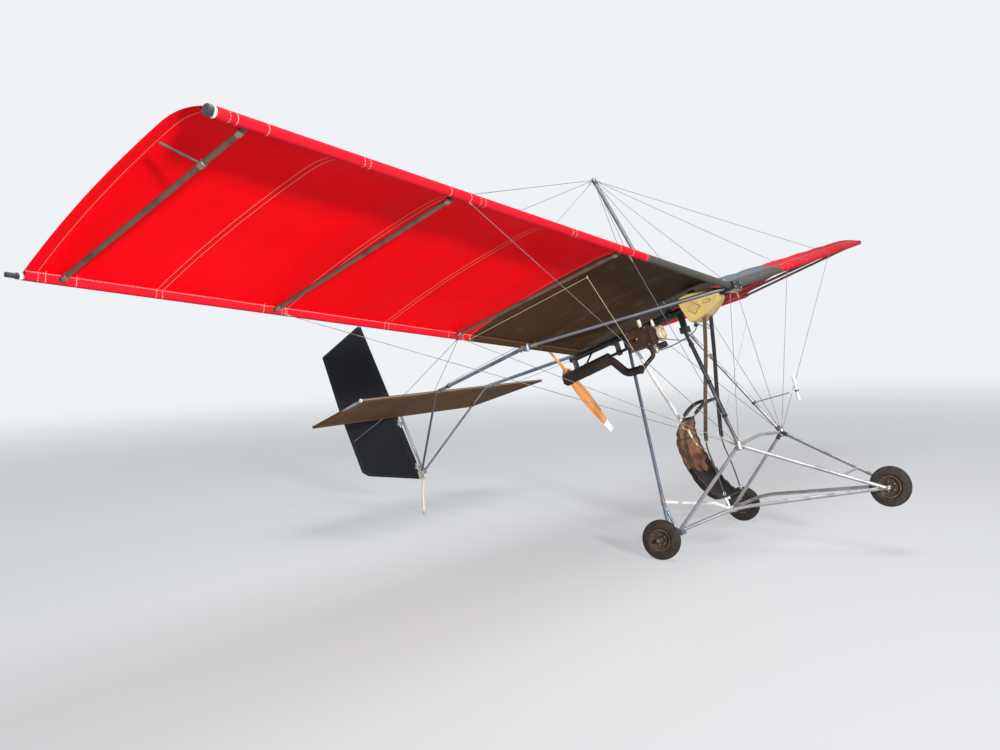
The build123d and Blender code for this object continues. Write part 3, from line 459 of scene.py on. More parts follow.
def sail_finish(name, outer, inner, sleeve):
    """Cloth in two colours that meet at a sewn seam, with a duller sleeve inboard. Rows of light
    stitches are dashes on both sides of each panel seam, along the sleeve and along the hem."""
    finish = Finish(name, outer, 0.6, Specular_IOR_Level=0.04)
    uv = finish.node("ShaderNodeUVMap", {"uv_map": "cloth"})
    span, chord = finish.axis("X", uv), finish.axis("Y", uv)
    panel = span - SEAM_SLANT * (chord - 0.13)
    hem = finish.axis("Y", finish.node("ShaderNodeUVMap", {"uv_map": "hem"}))
    inboard = panel.rise(COLOUR_SEAM + 0.002, COLOUR_SEAM - 0.002)
    front = chord.rise(0.30, 0.27) * inboard
    fade = finish.noise(1.3, 4.0, stretch=(0.5, 1, 1)).rise(0.3, 0.75)
    stain = finish.noise(6.5, 5.0).rise(0.56, 0.80)
    red = finish.mix(fade * 0.55, outer, tuple(0.80 * c for c in outer))
    dark = finish.mix(stain * 0.7, finish.mix(fade * 0.5, inner, tuple(0.7 * c for c in inner)), STAIN)
    dark = finish.mix(hem.rise(HEM_WALK + 0.002, HEM_WALK), dark, HEM_BROWN)
    cloth = finish.mix(front, finish.mix(inboard, red, dark), sleeve)
    row = None
    for seam in SEAMS:
        gap = abs(abs(panel - seam) - SEAM_GAP)
        line = gap.rise(0.0032, 0.0018)
        row = line if row is None else row.most(line)
    stitches = row * chord.nearest(STITCH).rise(0.0050, 0.0040)
    across = span.nearest(STITCH).rise(0.0050, 0.0040)
    edge_rows = ((chord, (0.010, SLEEVE_WALK, SLEEVE_WALK - 0.012)), (hem, (0.006, HEM_WALK + 0.028)))
    for distance, row_places in edge_rows:
        for place in row_places:
            stitches = stitches.most(abs(distance - place).rise(0.0030, 0.0018) * across * 0.8)
    on_edges = chord.rise(0.26, 0.25).most(hem.rise(0.16, 0.15))
    for station in STRUTS.values():
        patch = abs(abs(span - station) - PATCH).rise(0.0030, 0.0018)
        stitches = stitches.most(patch * on_edges * 0.8)
    tip_seam = SAIL_ENDS[1] - TIP_HEM
    tip_row = abs(span - tip_seam).rise(0.0030, 0.0018)
    stitches = stitches.most(tip_row * chord.nearest(STITCH).rise(0.0050, 0.0040) * 0.8)
    overlap = abs(panel - SEAMS[1])
    for seam in SEAMS:
        overlap = overlap.least(abs(panel - seam))
    tape = overlap.rise(SEAM_GAP + 0.009, SEAM_GAP + 0.007).most(span.rise(tip_seam - 0.002, tip_seam))
    cloth = finish.mix(tape * 0.10, cloth, (0.10, 0.02, 0.02))
    cloth = finish.mix(stitches * (0.75 - 0.5 * inboard), cloth, RED_THREAD)
    weave = finish.weave(700.0, (1, 0.35, 0.35), (0.35, 1, 1))
    crease = finish.noise(22.0, 3.0, stretch=(1, 0.25, 0.5)).rise(0.35, 0.65)
    height = tape * 0.5 + stitches * 0.5 + weave * 0.25 + crease * 0.30
    return finish.wear(cloth, 0.50 + 0.15 * fade, None, height, 0.0012)


def lay_uv(made, quads, distances, layer="cloth"):
    """A UV layer that holds two distances in metres for each point of a mesh."""
    uv = made.data.uv_layers.new(name=layer)
    uv.data.foreach_set("uv", distances[quads.ravel()].astype(np.float32).ravel())


def thicken(made, thickness, inner=0, offset=-1.0):
    """Gives a sheet its real thickness, inwards from its outer face at offset -1."""
    solid = made.modifiers.new("cloth", "SOLIDIFY")
    solid.thickness, solid.offset, solid.material_offset = thickness, offset, inner


def place_on(made, body, slot, *replaced):
    """Rides a piece on its body and hides the CAD nodes that it stands for. Its slot is not used."""
    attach(made, body)
    if replaced:
        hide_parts(*replaced)


sail_top = sail_finish("sail_top", (0.60, 0.010, 0.022), (0.12, 0.14, 0.18), (0.070, 0.070, 0.060))
# The underside's red is brighter than the top's: painted light standing in for sun on the underside.
sail_under = sail_finish("sail_under", (0.92, 0.001, 0.006), (0.062, 0.033, 0.013), (0.070, 0.066, 0.050))
for side, sign in SIDES.items():
    path, walked = section(spans)
    points, quads = grid(park(path * (sign, 1, 1)))
    if sign > 0:
        quads = quads[:, ::-1]
    sail = meshed(f"sail_cloth_{side}", points, quads, np.zeros(len(quads)), [sail_top, sail_under])
    for layer, distance in (("cloth", walked), ("hem", walked[:, -1:] - walked)):
        span = np.broadcast_to(spans[:, None], distance.shape)
        lay_uv(sail, quads, np.stack((span, distance), -1).reshape(-1, 2), layer)
    sail.data.shade_smooth()
    thicken(sail, CLOTH, inner=1)
    place_on(sail, "airframe", "sail_cloth", f"sail_{side}")
    cut_area = ((walked[1:, -1] + walked[:-1, -1]) / 2 * np.diff(spans)).sum()


# Stabilizer: brown cloth laced as a flat bag over its tube frame. It rides over the ribs and sags
# between them, and a row of light stitches runs inside each edge.
STAB_FRONT, STAB_REAR = (1.390, 1.985, 1.712), (1.180, 2.785, 1.690)
STAB_TUBE = 0.0125
STAB_RIBS = (-0.394, 0.0, 0.394)
STAB_SAG, STAB_RIPPLE = 0.0075, 0.0012
ON_RIB, FREE_OF_RIB, FREE_OF_EDGE = 0.025, 0.160, 0.14


def to_edges(half, inner):
    """Stations from -half to half, close together at both ends where the cloth turns round a tube."""
    turn = STAB_TUBE * (1 - np.cos(np.linspace(0, np.pi / 2, 7)))
    return np.concatenate((-half + turn, np.linspace(-half, half, inner + 2)[1:-1], half - turn[::-1]))


def bag(across, inward, half_width, depth):
    """Height of the cloth over the frame's plane: a quarter circle round the edge tubes, then a sag
    that deepens to the middle of each bay and is lifted by the ribs."""
    edge = np.minimum(np.minimum(half_width - np.abs(across), inward), depth - inward)
    round_tube = np.sqrt(np.clip(1 - (1 - np.clip(edge / STAB_TUBE, 0, 1)) ** 2, 0, 1))
    flat = np.clip((edge - STAB_TUBE) / FREE_OF_EDGE, 0, 1)
    from_rib = np.min([np.abs(across - place) for place in STAB_RIBS], axis=0)
    sag = STAB_SAG * np.clip((from_rib - ON_RIB) / (FREE_OF_RIB - ON_RIB), 0, 1) ** 0.7
    ripple = STAB_RIPPLE * np.sin(2 * np.pi * (across / 0.13 + 1.7 * inward)) * flat
    return (STAB_TUBE + CLOTH) * round_tube - sag * np.sin(np.pi / 2 * flat) + ripple


def plain_cloth(name, colour, faded, stitch, rows, sheen):
    """Woven cloth with cloudy fading, stains, and rows of stitches at these distances from its edge."""
    finish = Finish(name, colour, 0.8, Sheen_Weight=sheen, Specular_IOR_Level=0.2)
    uv = finish.node("ShaderNodeUVMap", {"uv_map": "cloth"})
    edge, along = finish.axis("X", uv), finish.axis("Y", uv)
    clouds = finish.noise(2.6, 5.0).rise(0.35, 0.72)
    spots = finish.noise(17.0, 4.0).rise(0.60, 0.78)
    cloth = finish.mix(spots * 0.5, finish.mix(clouds * 0.7, colour, faded), tuple(0.6 * c for c in colour))
    height = finish.weave(900.0) * 0.3
    for row in rows:
        line = abs(edge - row).rise(0.0032, 0.0018)
        dash = along.nearest(0.012).rise(0.0044, 0.0034)
        cloth = finish.mix(line * dash * 0.8, cloth, stitch)
        height = height + line * 0.5 - abs(edge - row).rise(0.014, 0.004) * 0.5
    return finish.wear(cloth, 0.72 + 0.16 * clouds, None, height, 0.0012)


stab_cloth = plain_cloth(
    "stabilizer_cloth", (0.098, 0.043, 0.013), (0.19, 0.092, 0.031), (0.36, 0.26, 0.16),
    rows=(0.045, 0.052), sheen=0.0,
)
depth = np.linalg.norm(np.subtract(STAB_REAR, STAB_FRONT)[1:]) + 2 * (STAB_TUBE + CLOTH)
inward = to_edges(depth / 2, 22) + depth / 2
widths = STAB_FRONT[0] + (STAB_REAR[0] - STAB_FRONT[0]) * inward / depth + STAB_TUBE + CLOTH
across = (to_edges(STAB_FRONT[0], 90) / STAB_FRONT[0])[None, :] * widths[:, None]
height = bag(across, inward[:, None], widths[:, None], depth)
chord_line = between((0, *STAB_FRONT[1:]), (0, *STAB_REAR[1:]), (inward - STAB_TUBE) / (depth - 2 * STAB_TUBE))
normal = unit(np.cross((1.0, 0.0, 0.0), np.subtract((0, *STAB_REAR[1:]), (0, *STAB_FRONT[1:]))))
to_edge = np.minimum(np.minimum(widths[:, None] - np.abs(across), inward[:, None]), depth - inward[:, None])
sheets = []
for way in (1, -1):
    places = chord_line[:, None] + across[..., None] * (1, 0, 0) + way * height[..., None] * normal
    points, quads = grid(park(places))
    sheets.append((points, quads[:, ::way]))


def welded(name, shapes, finishes, uv=None):
    """Surfaces made one closed mesh: doubles are merged, then the faces are turned outwards."""
    points, quads, marks, first = [], [], [], 0
    for shape in shapes:
        points.append(shape[0])
        quads.append(shape[1] + first)
        marks.append(np.broadcast_to(shape[2] if len(shape) > 2 else 0, len(shape[1])))
        first += len(shape[0])
    made = meshed(name, np.concatenate(points), np.concatenate(quads), np.concatenate(marks), finishes)
    if uv is not None:
        lay_uv(made, np.concatenate(quads), uv)
    work = bmesh.new()
    work.from_mesh(made.data)
    bmesh.ops.remove_doubles(work, verts=work.verts, dist=2e-5)
    bmesh.ops.dissolve_degenerate(work, edges=work.edges, dist=1e-6)
    bmesh.ops.recalc_face_normals(work, faces=work.faces)
    work.to_mesh(made.data)
    work.free()
    made.data.set_sharp_from_angle(angle=np.radians(42))
    return made


bag_uv = np.stack((to_edge, across + inward[:, None]), -1).reshape(-1, 2)
stab = welded("stabilizer_cloth", sheets, [stab_cloth], np.concatenate((bag_uv, bag_uv)))
thicken(stab, CLOTH)
place_on(stab, "airframe", "stabilizer_cloth", "stabilizer_skin")


# Rudder: black cloth sleeved over its hinge tube and its bent rear tube, open at the two hinge rings.
RUDDER_FOOT, RUDDER_HEAD = (0.0, 2.740, 1.040), (0.0, 3.000, 2.685)
RUDDER_REAR = ((0.0, 3.580, 2.540), (0.0, 3.545, 1.950), (0.0, 3.460, 1.285), (0.0, 3.393, 1.232))
HINGES = (1.150, 1.610)
HINGE_TUBE, REAR_TUBE = 0.0125, 0.009
HINGE_OPENING, HINGE_LENGTH = 0.034, 1.66


def walk(places, steps):
    """The places at these shares of the length of a polyline."""
    places = np.asarray(places, float)
    lengths = np.concatenate(([0], np.cumsum(np.linalg.norm(np.diff(places, axis=0), axis=1))))
    at = np.asarray(steps) * lengths[-1]
    return np.stack([np.interp(at, lengths, places[:, i]) for i in range(3)], -1)


rise = np.concatenate((
    np.linspace(0.004, 0.10, 24), np.linspace(0.10, 0.90, 150)[1:], np.linspace(0.90, 0.996, 24)[1:],
))
hinge_line = between(RUDDER_FOOT, RUDDER_HEAD, rise)
rear_line = walk([RUDDER_FOOT, *RUDDER_REAR[::-1], RUDDER_HEAD], rise)
ruling = unit(rear_line - hinge_line)
hinge_way, rear_way = unit(np.subtract(RUDDER_HEAD, RUDDER_FOOT)), unit(np.gradient(rear_line, axis=0))
to_ring = np.min([np.abs(hinge_line[:, 2] - z) for z in HINGES], axis=0)
opened = 1 - np.clip((to_ring - HINGE_OPENING) / 0.010, 0, 1)


def round_bar(centre, way, radius, angle):
    """Places round a bar whose cut across the ruling is an ellipse: angle 0 is ahead, 90 to the side."""
    slant = np.clip(np.linalg.norm(np.cross(ruling, way), axis=-1, keepdims=True), 0.35, 1)
    back, side = -np.cos(angle)[..., None] / slant, np.sin(angle)[..., None]
    return centre + radius * (back * ruling + side * (1, 0, 0))


half = []
for part in np.linspace(0, 1, 8):
    angle = np.radians(125) * opened * (1 - part) + np.radians(90) * part
    half.append(round_bar(hinge_line, hinge_way, HINGE_TUBE + CLOTH, angle))
flank_start = half[-1]
rear_turn = [
    round_bar(rear_line, rear_way, REAR_TUBE + CLOTH, np.full(len(rise), angle))
    for angle in np.radians(np.linspace(90, 180, 8))
]
for part in np.linspace(0, 1, 26)[1:-1]:
    drawn_in = 0.0022 * np.sin(np.pi * part) ** 0.5 + 0.0008 * np.sin(2 * np.pi * (rise * 9 + 2 * part))
    half.append(flank_start + (rear_turn[0] - flank_start) * part - drawn_in[:, None] * (1, 0, 0))
half = np.stack(half + rear_turn, 1)
rudder_cloth = plain_cloth(
    "rudder_cloth", (0.010, 0.011, 0.015), (0.018, 0.019, 0.025), (0.06, 0.06, 0.065),
    rows=(0.040, 0.047), sheen=0.04,
)
flanks, uvs = [], []
for way in (1, -1):
    points, quads = grid(park(half * (way, 1, 1)))
    flanks.append((points, quads[:, ::way]))
    steps = np.cumsum(np.linalg.norm(np.diff(half, axis=1, prepend=half[:, :1]), axis=-1), 1)
    from_edge = np.minimum(steps, steps[:, -1:] - steps)
    up_hinge = np.broadcast_to(rise[:, None] * HINGE_LENGTH, from_edge.shape)
    uvs.append(np.stack((from_edge, up_hinge), -1).reshape(-1, 2))
rudder = welded("rudder_cloth", flanks, [rudder_cloth], np.concatenate(uvs))
thicken(rudder, CLOTH)
place_on(rudder, "rudder", "rudder_cloth", "rudder_skin")


# Seat: a sling of brown cloth with black bound edges and a black lower panel, hung on black webbing
# straps from the root tubes. The cloth bellies back between its edges, and the straps pass a buckle.
SEAT_HALF = 0.190
SEAT_BELLY = ((-0.126, 0.833), (-0.020, 0.705), (-0.024, 0.470), (-0.105, 0.235), (-0.200, 0.125), (-0.300, 0.150))
SEAT_RIM = ((-0.126, 0.833), (-0.060, 0.715), (-0.095, 0.500), (-0.175, 0.290), (-0.240, 0.175), (-0.300, 0.150))
SEAT_TOP_HALF, SEAT_CLOTH = 0.115, 0.0022
SEAT_BLACK_FROM, PLEAT_AT = 0.62, 0.19
STRAP, UPPER_STRAP, STRAP_PAD = (0.028, 0.0026), 0.034, (0.050, 0.028)
STRAP_LINE = (
    (0.060, -0.560, 1.625), (0.086, -0.470, 1.270), (0.118, -0.378, 0.980), (0.140, -0.330, 0.800),
    (0.164, -0.268, 0.585), (0.172, -0.296, 0.380), (0.174, -0.300, 0.150),
)
STRAP_STEPS, STRAP_BEND, STRAP_FORK = 119, 0.70, 0.49
PAD_LIFT, PAD_ROLLS = 0.032, 6


def smooth(places, times=4):
    """A polyline with each corner cut at a quarter and three quarters of its runs, again and again."""
    places = np.asarray(places, float)
    for _ in range(times):
        first, second = places[:-1] * 0.75 + places[1:] * 0.25, places[:-1] * 0.25 + places[1:] * 0.75
        middle = np.stack((first, second), 1).reshape(-1, places.shape[1])
        places = np.concatenate((places[:1], middle[1:-1], places[-1:]))
    return places


run = np.linspace(0, 1, 90)
belly, rim = (walk(smooth([(0.0, *place) for place in line]), run) for line in (SEAT_BELLY, SEAT_RIM))
turn = np.linspace(-1, 1, 70)
width = (np.sign(turn) * (1 - (1 - np.abs(turn)) ** 3.4))[None, :]
depth = (1 - width**4) ** 0.25
halves = SEAT_TOP_HALF + (SEAT_HALF - SEAT_TOP_HALF) * np.sin(np.pi / 2 * np.clip(run / 0.28, 0, 1)) ** 0.8
folds = 0.0030 * np.sin(2 * np.pi * (run[:, None] * 11 + 1.3 * width**2)) * np.abs(width) ** 3
folds = folds + 0.0022 * np.sin(2 * np.pi * (run[:, None] * 5.3 + 0.8 * width))
pleat = 0.008 * np.exp(-((run[:, None] - 0.21 - 0.02 * width) / 0.010) ** 2) * np.clip(1.2 - np.abs(width + 0.5), 0, 1)
inside = unit(rim - belly + (0, -1e-4, 0))
seat_places = rim[:, None] + (belly - rim)[:, None] * depth[..., None] + (folds + pleat)[..., None] * inside[:, None]
seat_places = seat_places + (width * halves[:, None])[..., None] * (1, 0, 0)
seat_length = np.linalg.norm(np.diff(belly, axis=0), axis=1).sum()
across_steps = np.linalg.norm(np.diff(seat_places, axis=1), axis=-1)
across_walk = np.concatenate((np.zeros((len(run), 1)), np.cumsum(across_steps, 1)), 1)
from_rim = np.minimum(across_walk, across_walk[:, -1:] - across_walk)


def seat_finish():
    """Brown cloth that turns black in a bound strip along each rim and below an uneven line; the black lower panel is
    black cloth whose ragged edge is painted shadow of creases, and dark streaks and a pleat line are painted shade in
    folds.
    """
    finish = Finish("seat_cloth", (0.20, 0.10, 0.06), 0.8, Sheen_Weight=0.10, Specular_IOR_Level=0.2)
    uv = finish.node("ShaderNodeUVMap", {"uv_map": "cloth"})
    side, down = finish.axis("X", uv), finish.axis("Y", uv)
    clouds = finish.noise(11.0, 5.0).rise(0.35, 0.75)
    # Noise that makes the black panel's edge ragged: painted shadow of the creases.
    crease_shadow_edge = finish.noise(9.0, 3.0, stretch=(1.6, 1, 0.5)) * 0.34
    black_panel_and_shadow = (down + crease_shadow_edge).rise(SEAT_BLACK_FROM, SEAT_BLACK_FROM + 0.015)
    binding_and_shadow = side.rise(0.016, 0.014).most(black_panel_and_shadow).most(down.rise(0.030, 0.028))
    # Dark stretched streaks and the dark pleat line below: painted shade in the cloth's folds.
    fold_painted_shade = finish.noise(16.0, 4.0, stretch=(1.5, 1, 0.35)).rise(0.56, 0.70)
    pleat = abs(down - PLEAT_AT).rise(0.012, 0.003) * 0.8
    brown = finish.mix(clouds, (0.22, 0.100, 0.058), (0.12, 0.052, 0.032))
    brown = finish.mix((fold_painted_shade * 0.75).most(pleat), brown, (0.035, 0.016, 0.014))
    black = finish.mix(clouds, (0.010, 0.008, 0.009), (0.020, 0.015, 0.015))
    row = abs(side - 0.012).rise(0.0016, 0.0008).most(abs(side - 0.004).rise(0.0016, 0.0008))
    row = row * down.nearest(0.008).rise(0.0030, 0.0022)
    cloth = finish.mix(row * 0.7, finish.mix(binding_and_shadow, brown, black), (0.30, 0.26, 0.22))
    height = finish.weave(800.0) * 0.4 + binding_and_shadow * 0.6 - row * 0.4
    return finish.wear(cloth, 0.72 + 0.15 * clouds, None, height, 0.0010)


points, quads = grid(park(seat_places))
down_run = np.broadcast_to(run[:, None] * seat_length, from_rim.shape)
seat = meshed("seat_cloth", points, quads, np.zeros(len(quads)), [seat_finish()])
lay_uv(seat, quads, np.stack((from_rim, down_run), -1).reshape(-1, 2))
seat.data.shade_smooth()
thicken(seat, SEAT_CLOTH, offset=0.0)
place_on(seat, "airframe", "seat_cloth", "seat_sling")


def frames(path, side=(1.0, 0.0, 0.0)):
    """Direction, side and normal at each point of a path, the side as near as may be to the one given."""
    ahead = unit(np.gradient(path, axis=0))
    side = np.asarray(side, float)
    across = unit(side - ahead * (ahead @ side)[:, None])
    return ahead, across, np.cross(ahead, across)


def swept(path, outline, side=(1.0, 0.0, 0.0), scale=1.0):
    """A closed outline (side, normal) carried along a path and scaled at each point, its ends closed."""
    path, outline = np.asarray(path, float), np.asarray(outline, float)
    _, across, normal = frames(path, side)
    size = np.broadcast_to(np.asarray(scale, float), len(path))[:, None, None]
    ring = (across[:, None] * outline[None, :, :1] + normal[:, None] * outline[None, :, 1:]) * size
    places = path[:, None] + ring
    first = np.repeat(path[:1, None], len(outline), 1)
    last = np.repeat(path[-1:, None], len(outline), 1)
    return grid(np.concatenate((first, places, last)), wrap_columns=True)


def flat_band(width, thickness):
    """The outline of a woven band: straight faces and round edges."""
    angle = np.linspace(0, 2 * np.pi, 20, endpoint=False)
    x, y = np.cos(angle), np.sin(angle)
    return np.stack((np.sign(x) * np.abs(x) ** 0.35 * width / 2, y * thickness / 2), -1)


def web_finish(name, colour, pale):
    """Close cross ribs over a lengthwise grain, paler where it is worn."""
    finish = Finish(name, colour, 0.75, Sheen_Weight=0.15, Specular_IOR_Level=0.25)
    ribs = finish.axis("Z").wave(0.0022)
    worn = finish.noise(30.0, 4.0).rise(0.45, 0.75)
    return finish.wear(finish.mix(worn * 0.6 + ribs * 0.25, colour, pale), 0.65 + 0.2 * worn, None, ribs, 0.0005)


def tilted(shape):
    """A shape worked out on the level machine, parked."""
    return (park(shape[0]), *shape[1:])


def marked(shape, mark):
    return (*shape[:2], mark)


def fitted(name, body, slot, shapes, finishes, *replaced, uv=None):
    """One piece made of shapes that were worked out on the level machine."""
    place_on(welded(name, [tilted(shape) for shape in shapes], finishes, uv), body, slot, *replaced)


def hoop(centre, side, up, half_width, half_height, wire, squareness=0.35):
    """A ring of round wire: its line is a superellipse, round at squareness 1 and square near 0."""
    angle = np.linspace(0, 2 * np.pi, 40, endpoint=False)
    side, up = unit(np.asarray(side, float)), unit(np.asarray(up, float))
    x = np.sign(np.cos(angle)) * np.abs(np.cos(angle)) ** squareness * half_width
    y = np.sign(np.sin(angle)) * np.abs(np.sin(angle)) ** squareness * half_height
    out = unit(np.cos(angle)[:, None] * side + np.sin(angle)[:, None] * up)
    turn = np.linspace(0, 2 * np.pi, 10, endpoint=False)[None, :, None]
    line = np.asarray(centre, float) + x[:, None] * side + y[:, None] * up
    places = line[:, None] + wire * (out[:, None] * np.cos(turn) + np.cross(side, up) * np.sin(turn))
    return grid(places, wrap_rows=True, wrap_columns=True)


black_web = web_finish("webbing_black", (0.022, 0.020, 0.020), (0.070, 0.062, 0.056))
brown_web = web_finish("webbing_brown", (0.105, 0.070, 0.040), (0.17, 0.12, 0.075))
buckle_steel = tube_finish("buckle_steel", (0.50, 0.49, 0.46), (0.28, 0.26, 0.24), 0.32)
bands = []
for side, sign in SIDES.items():
    web = 1 if side == "right" else 0
    edge = sign * (SEAT_TOP_HALF - 0.006)
    hanging = walk(smooth(np.multiply(STRAP_LINE, (sign, 1, 1)), 3), np.linspace(0, 1, STRAP_STEPS + 1))
    bend, fork_at = int(STRAP_BEND * STRAP_STEPS), int(STRAP_FORK * STRAP_STEPS)
    back, fork = (edge, *SEAT_BELLY[0]), hanging[fork_at]
    bands.append(marked(swept(hanging[:bend + 1], flat_band(UPPER_STRAP, STRAP[1]), (0.0, 1.0, 0.0)), web))
    bands.append(marked(swept(hanging[bend - 5:] + (0, 0.004, 0), flat_band(*STRAP)), 0))
    pad = np.linspace(0, 1, 60)
    route = between(fork, back, pad) + (0, 0, PAD_LIFT) * np.sin(np.pi * pad)[:, None]
    padded = np.clip(np.minimum(pad - 0.06, 0.94 - pad) / 0.05, 0, 1)[:, None]
    outline = flat_band(1, 1)
    ahead, across, normal = frames(route)
    widths = STRAP[0] + (STRAP_PAD[0] - STRAP[0]) * padded
    rolls = 1 - 0.18 * np.cos(2 * np.pi * pad[:, None] * PAD_ROLLS) ** 8
    depths = STRAP[1] + (STRAP_PAD[1] - STRAP[1]) * padded * rolls
    rings = route[:, None] + across[:, None] * (outline[:, :1] * widths[:, None])
    rings = rings + normal[:, None] * (outline[:, 1:] * depths[:, None])
    caps = [np.repeat(end[None, None], len(outline), 1) for end in (route[0], route[-1])]
    bands.append(marked(grid(np.concatenate((caps[0], rings, caps[1])), wrap_columns=True), 0))
    rings_at = (
        (fork, unit(hanging[fork_at + 1] - fork)), (hanging[bend], unit(hanging[bend] - hanging[bend - 1])),
        (hanging[-3], unit(hanging[-1] - hanging[-3])), (between(fork, back, 0.97), unit(np.subtract(back, fork))),
    )
    for centre, way in rings_at:
        bands.append(marked(hoop(centre, (1, 0, 0), way, STRAP[0] / 2 + 0.005, 0.014, 0.0022), 2))
        bands.append(marked(hoop(centre, (1, 0, 0), way, STRAP[0] / 2 + 0.003, 0.0022, 0.0016), 2))
fitted("seat_webbing", "airframe", "webbing", bands, [black_web, brown_web, buckle_steel], "seat_straps")


# Wheels: a small pneumatic tyre with three tread grooves and stepped side walls, on a pressed steel
# rim painted dark, rusty at the lip, with a ring of bolts, a grease cap and an inflation valve.
WHEEL_RADIUS, TYRE_WIDTH, RIM_RADIUS = 0.149, 0.075, 0.080
TRACK_HALF, NOSE_AXLE = 0.835, (0.0, -1.478, -0.081)
TREAD_GROOVES = (-0.013, 0.0, 0.013)
WALL_STEPS = (0.098, 0.108, 0.118)
HUBS = {"right_wheel": (-TRACK_HALF, 0, 0), "left_wheel": (TRACK_HALF, 0, 0), "nose_wheel": NOSE_AXLE}
RIM_SHELL = (
    # along the axle and radius, from the bead's edge to the bore
    (-0.0265, 0.0785), (-0.0265, 0.0735), (-0.0235, 0.0715), (-0.0120, 0.0700), (-0.0095, 0.0640),
    (-0.0050, 0.0600), (-0.0040, 0.0480), (-0.0100, 0.0440), (-0.0105, 0.0330), (-0.0045, 0.0290),
    (-0.0045, 0.0240), (-0.0400, 0.0225), (-0.0420, 0.0205), (-0.0420, 0.0081),
)
RIM_BOLTS, RIM_BOLT_CIRCLE, RIM_FACE = 5, 0.0385, 0.0102
LUGS, LUG_SLANT = 54, 260


def turned(profile, centre, way, sides=24, closed=False):
    """A profile of (distance along the axis, radius) turned about the axis through the centre."""
    profile = np.asarray(profile, float)
    way = unit(np.asarray(way, float))
    side = unit(np.cross(way, (0.31, 0.17, 0.94)))
    angle = np.linspace(0, 2 * np.pi, sides, endpoint=False)[:, None]
    spoke = side * np.cos(angle) + np.cross(way, side) * np.sin(angle)
    points = np.asarray(centre, float) + way * profile[:, None, :1] + spoke[None] * profile[:, None, 1:]
    return grid(points, wrap_rows=closed, wrap_columns=True)


def rod(start, end, radius, sides=16, ends=0.0):
    """A round bar with closed ends, their edges eased by this much."""
    length = np.linalg.norm(np.subtract(end, start))
    half = [(0, 0), (0, radius - ends), (ends, radius)]
    return turned(half + [(length - along, out) for along, out in half[::-1]], start, np.subtract(end, start), sides)


def bar(start, end, width, depth, side=(1.0, 0.0, 0.0), ease=0.002):
    """A straight bar of rounded rectangular section, narrowed a little at both ends."""
    start, end = np.asarray(start, float), np.asarray(end, float)
    length = np.linalg.norm(end - start)
    angle = np.linspace(0, 2 * np.pi, 24, endpoint=False) + np.pi / 24
    outline = np.stack((np.cos(angle), np.sin(angle)), -1)
    outline = np.sign(outline) * np.abs(outline) ** 0.22 * (width / 2, depth / 2)
    path = between(start, end, np.array((0, ease, length - ease, length)) / length)
    return swept(path, outline, side, np.array((1 - 2 * ease / width, 1, 1, 1 - 2 * ease / width)))


def bolt(at, way, size, grip):
    """A hex head on a washer, and at the far side of the grip a washer, a nut and the thread's end."""
    at, way = np.asarray(at, float), unit(np.asarray(way, float))
    head = [(0, 0), (0, 1.15), (0.18, 1.15), (0.18, 0)]
    hexagon = [(0.18, 0), (0.18, 0.92), (0.72, 0.92), (0.84, 0.80), (0.84, 0)]
    nut = [(0.18, 0), (0.18, 0.92), (0.98, 0.92), (1.10, 0.80), (1.10, 0)]
    thread = [(1.0, 0), (1.0, 0.5), (1.6, 0.5), (1.7, 0.42), (1.7, 0)]
    shapes = []
    for start, out, parts in ((at, way, (head, hexagon)), (at - way * grip, -way, (head, nut, thread))):
        for part, sides in zip(parts, (16, 6, 10)):
            shapes.append(turned(np.multiply(part, size), start, out, sides))
    return shapes


def screw(at, way, size, mark=0):
    """Only a bolt's washer and head."""
    return [marked(shape, mark) for shape in bolt(at, way, size, 0)[:2]]


def tyre_profile(width):
    """Half width over radius: a round shoulder from the bead to the tread, as a superellipse, with
    stepped rings on the wall and square grooves in the tread."""
    turn = np.linspace(-1, 1, 121)
    middle = (RIM_RADIUS + WHEEL_RADIUS) / 2
    half_height = (WHEEL_RADIUS - RIM_RADIUS) / 2
    angle = turn * np.pi * 0.93
    across = np.sign(np.sin(angle)) * np.abs(np.sin(angle)) ** 0.72 * width / 2
    out = middle + np.sign(np.cos(angle)) * np.abs(np.cos(angle)) ** 0.62 * half_height
    groove = np.max([np.exp(-(((across - g) / 0.0016) ** 4)) for g in TREAD_GROOVES], axis=0)
    out = out - 0.0030 * groove * (out > 0.135)
    wall = np.abs(across) > 0.028
    step = np.sum([0.0007 * np.tanh((out - r) / 0.0006) for r in WALL_STEPS], axis=0)
    across = across - np.sign(across) * np.where(wall, step + 0.0021, 0.0)
    return np.stack((across, out), -1)


def rubber_finish(name, hub):
    """Black rubber browned with dust that lies in the wall, with fine tread lugs round the tread."""
    finish = Finish(name, (0.03, 0.026, 0.024), 0.8, Specular_IOR_Level=0.3)
    reach = finish.reach(hub)
    y, z = finish.axis("Y", reach), finish.axis("Z", reach)
    radius = (y * y + z * z) ** 0.5
    turn = y.turn(z)
    across = finish.axis("X", reach)
    lug = (turn * LUGS + abs(across) * LUG_SLANT).sine().rise(-0.2, 0.25)
    tread = radius.rise(0.1405, 0.1425)
    dust = finish.noise(26.0, 5.0).rise(0.38, 0.72)
    colour = finish.mix(dust * 0.75, (0.020, 0.017, 0.016), (0.060, 0.042, 0.031))
    return finish.wear(colour, 0.70 + 0.2 * dust, None, lug * tread + finish.noise(300.0, 2.0) * 0.15, 0.0016)


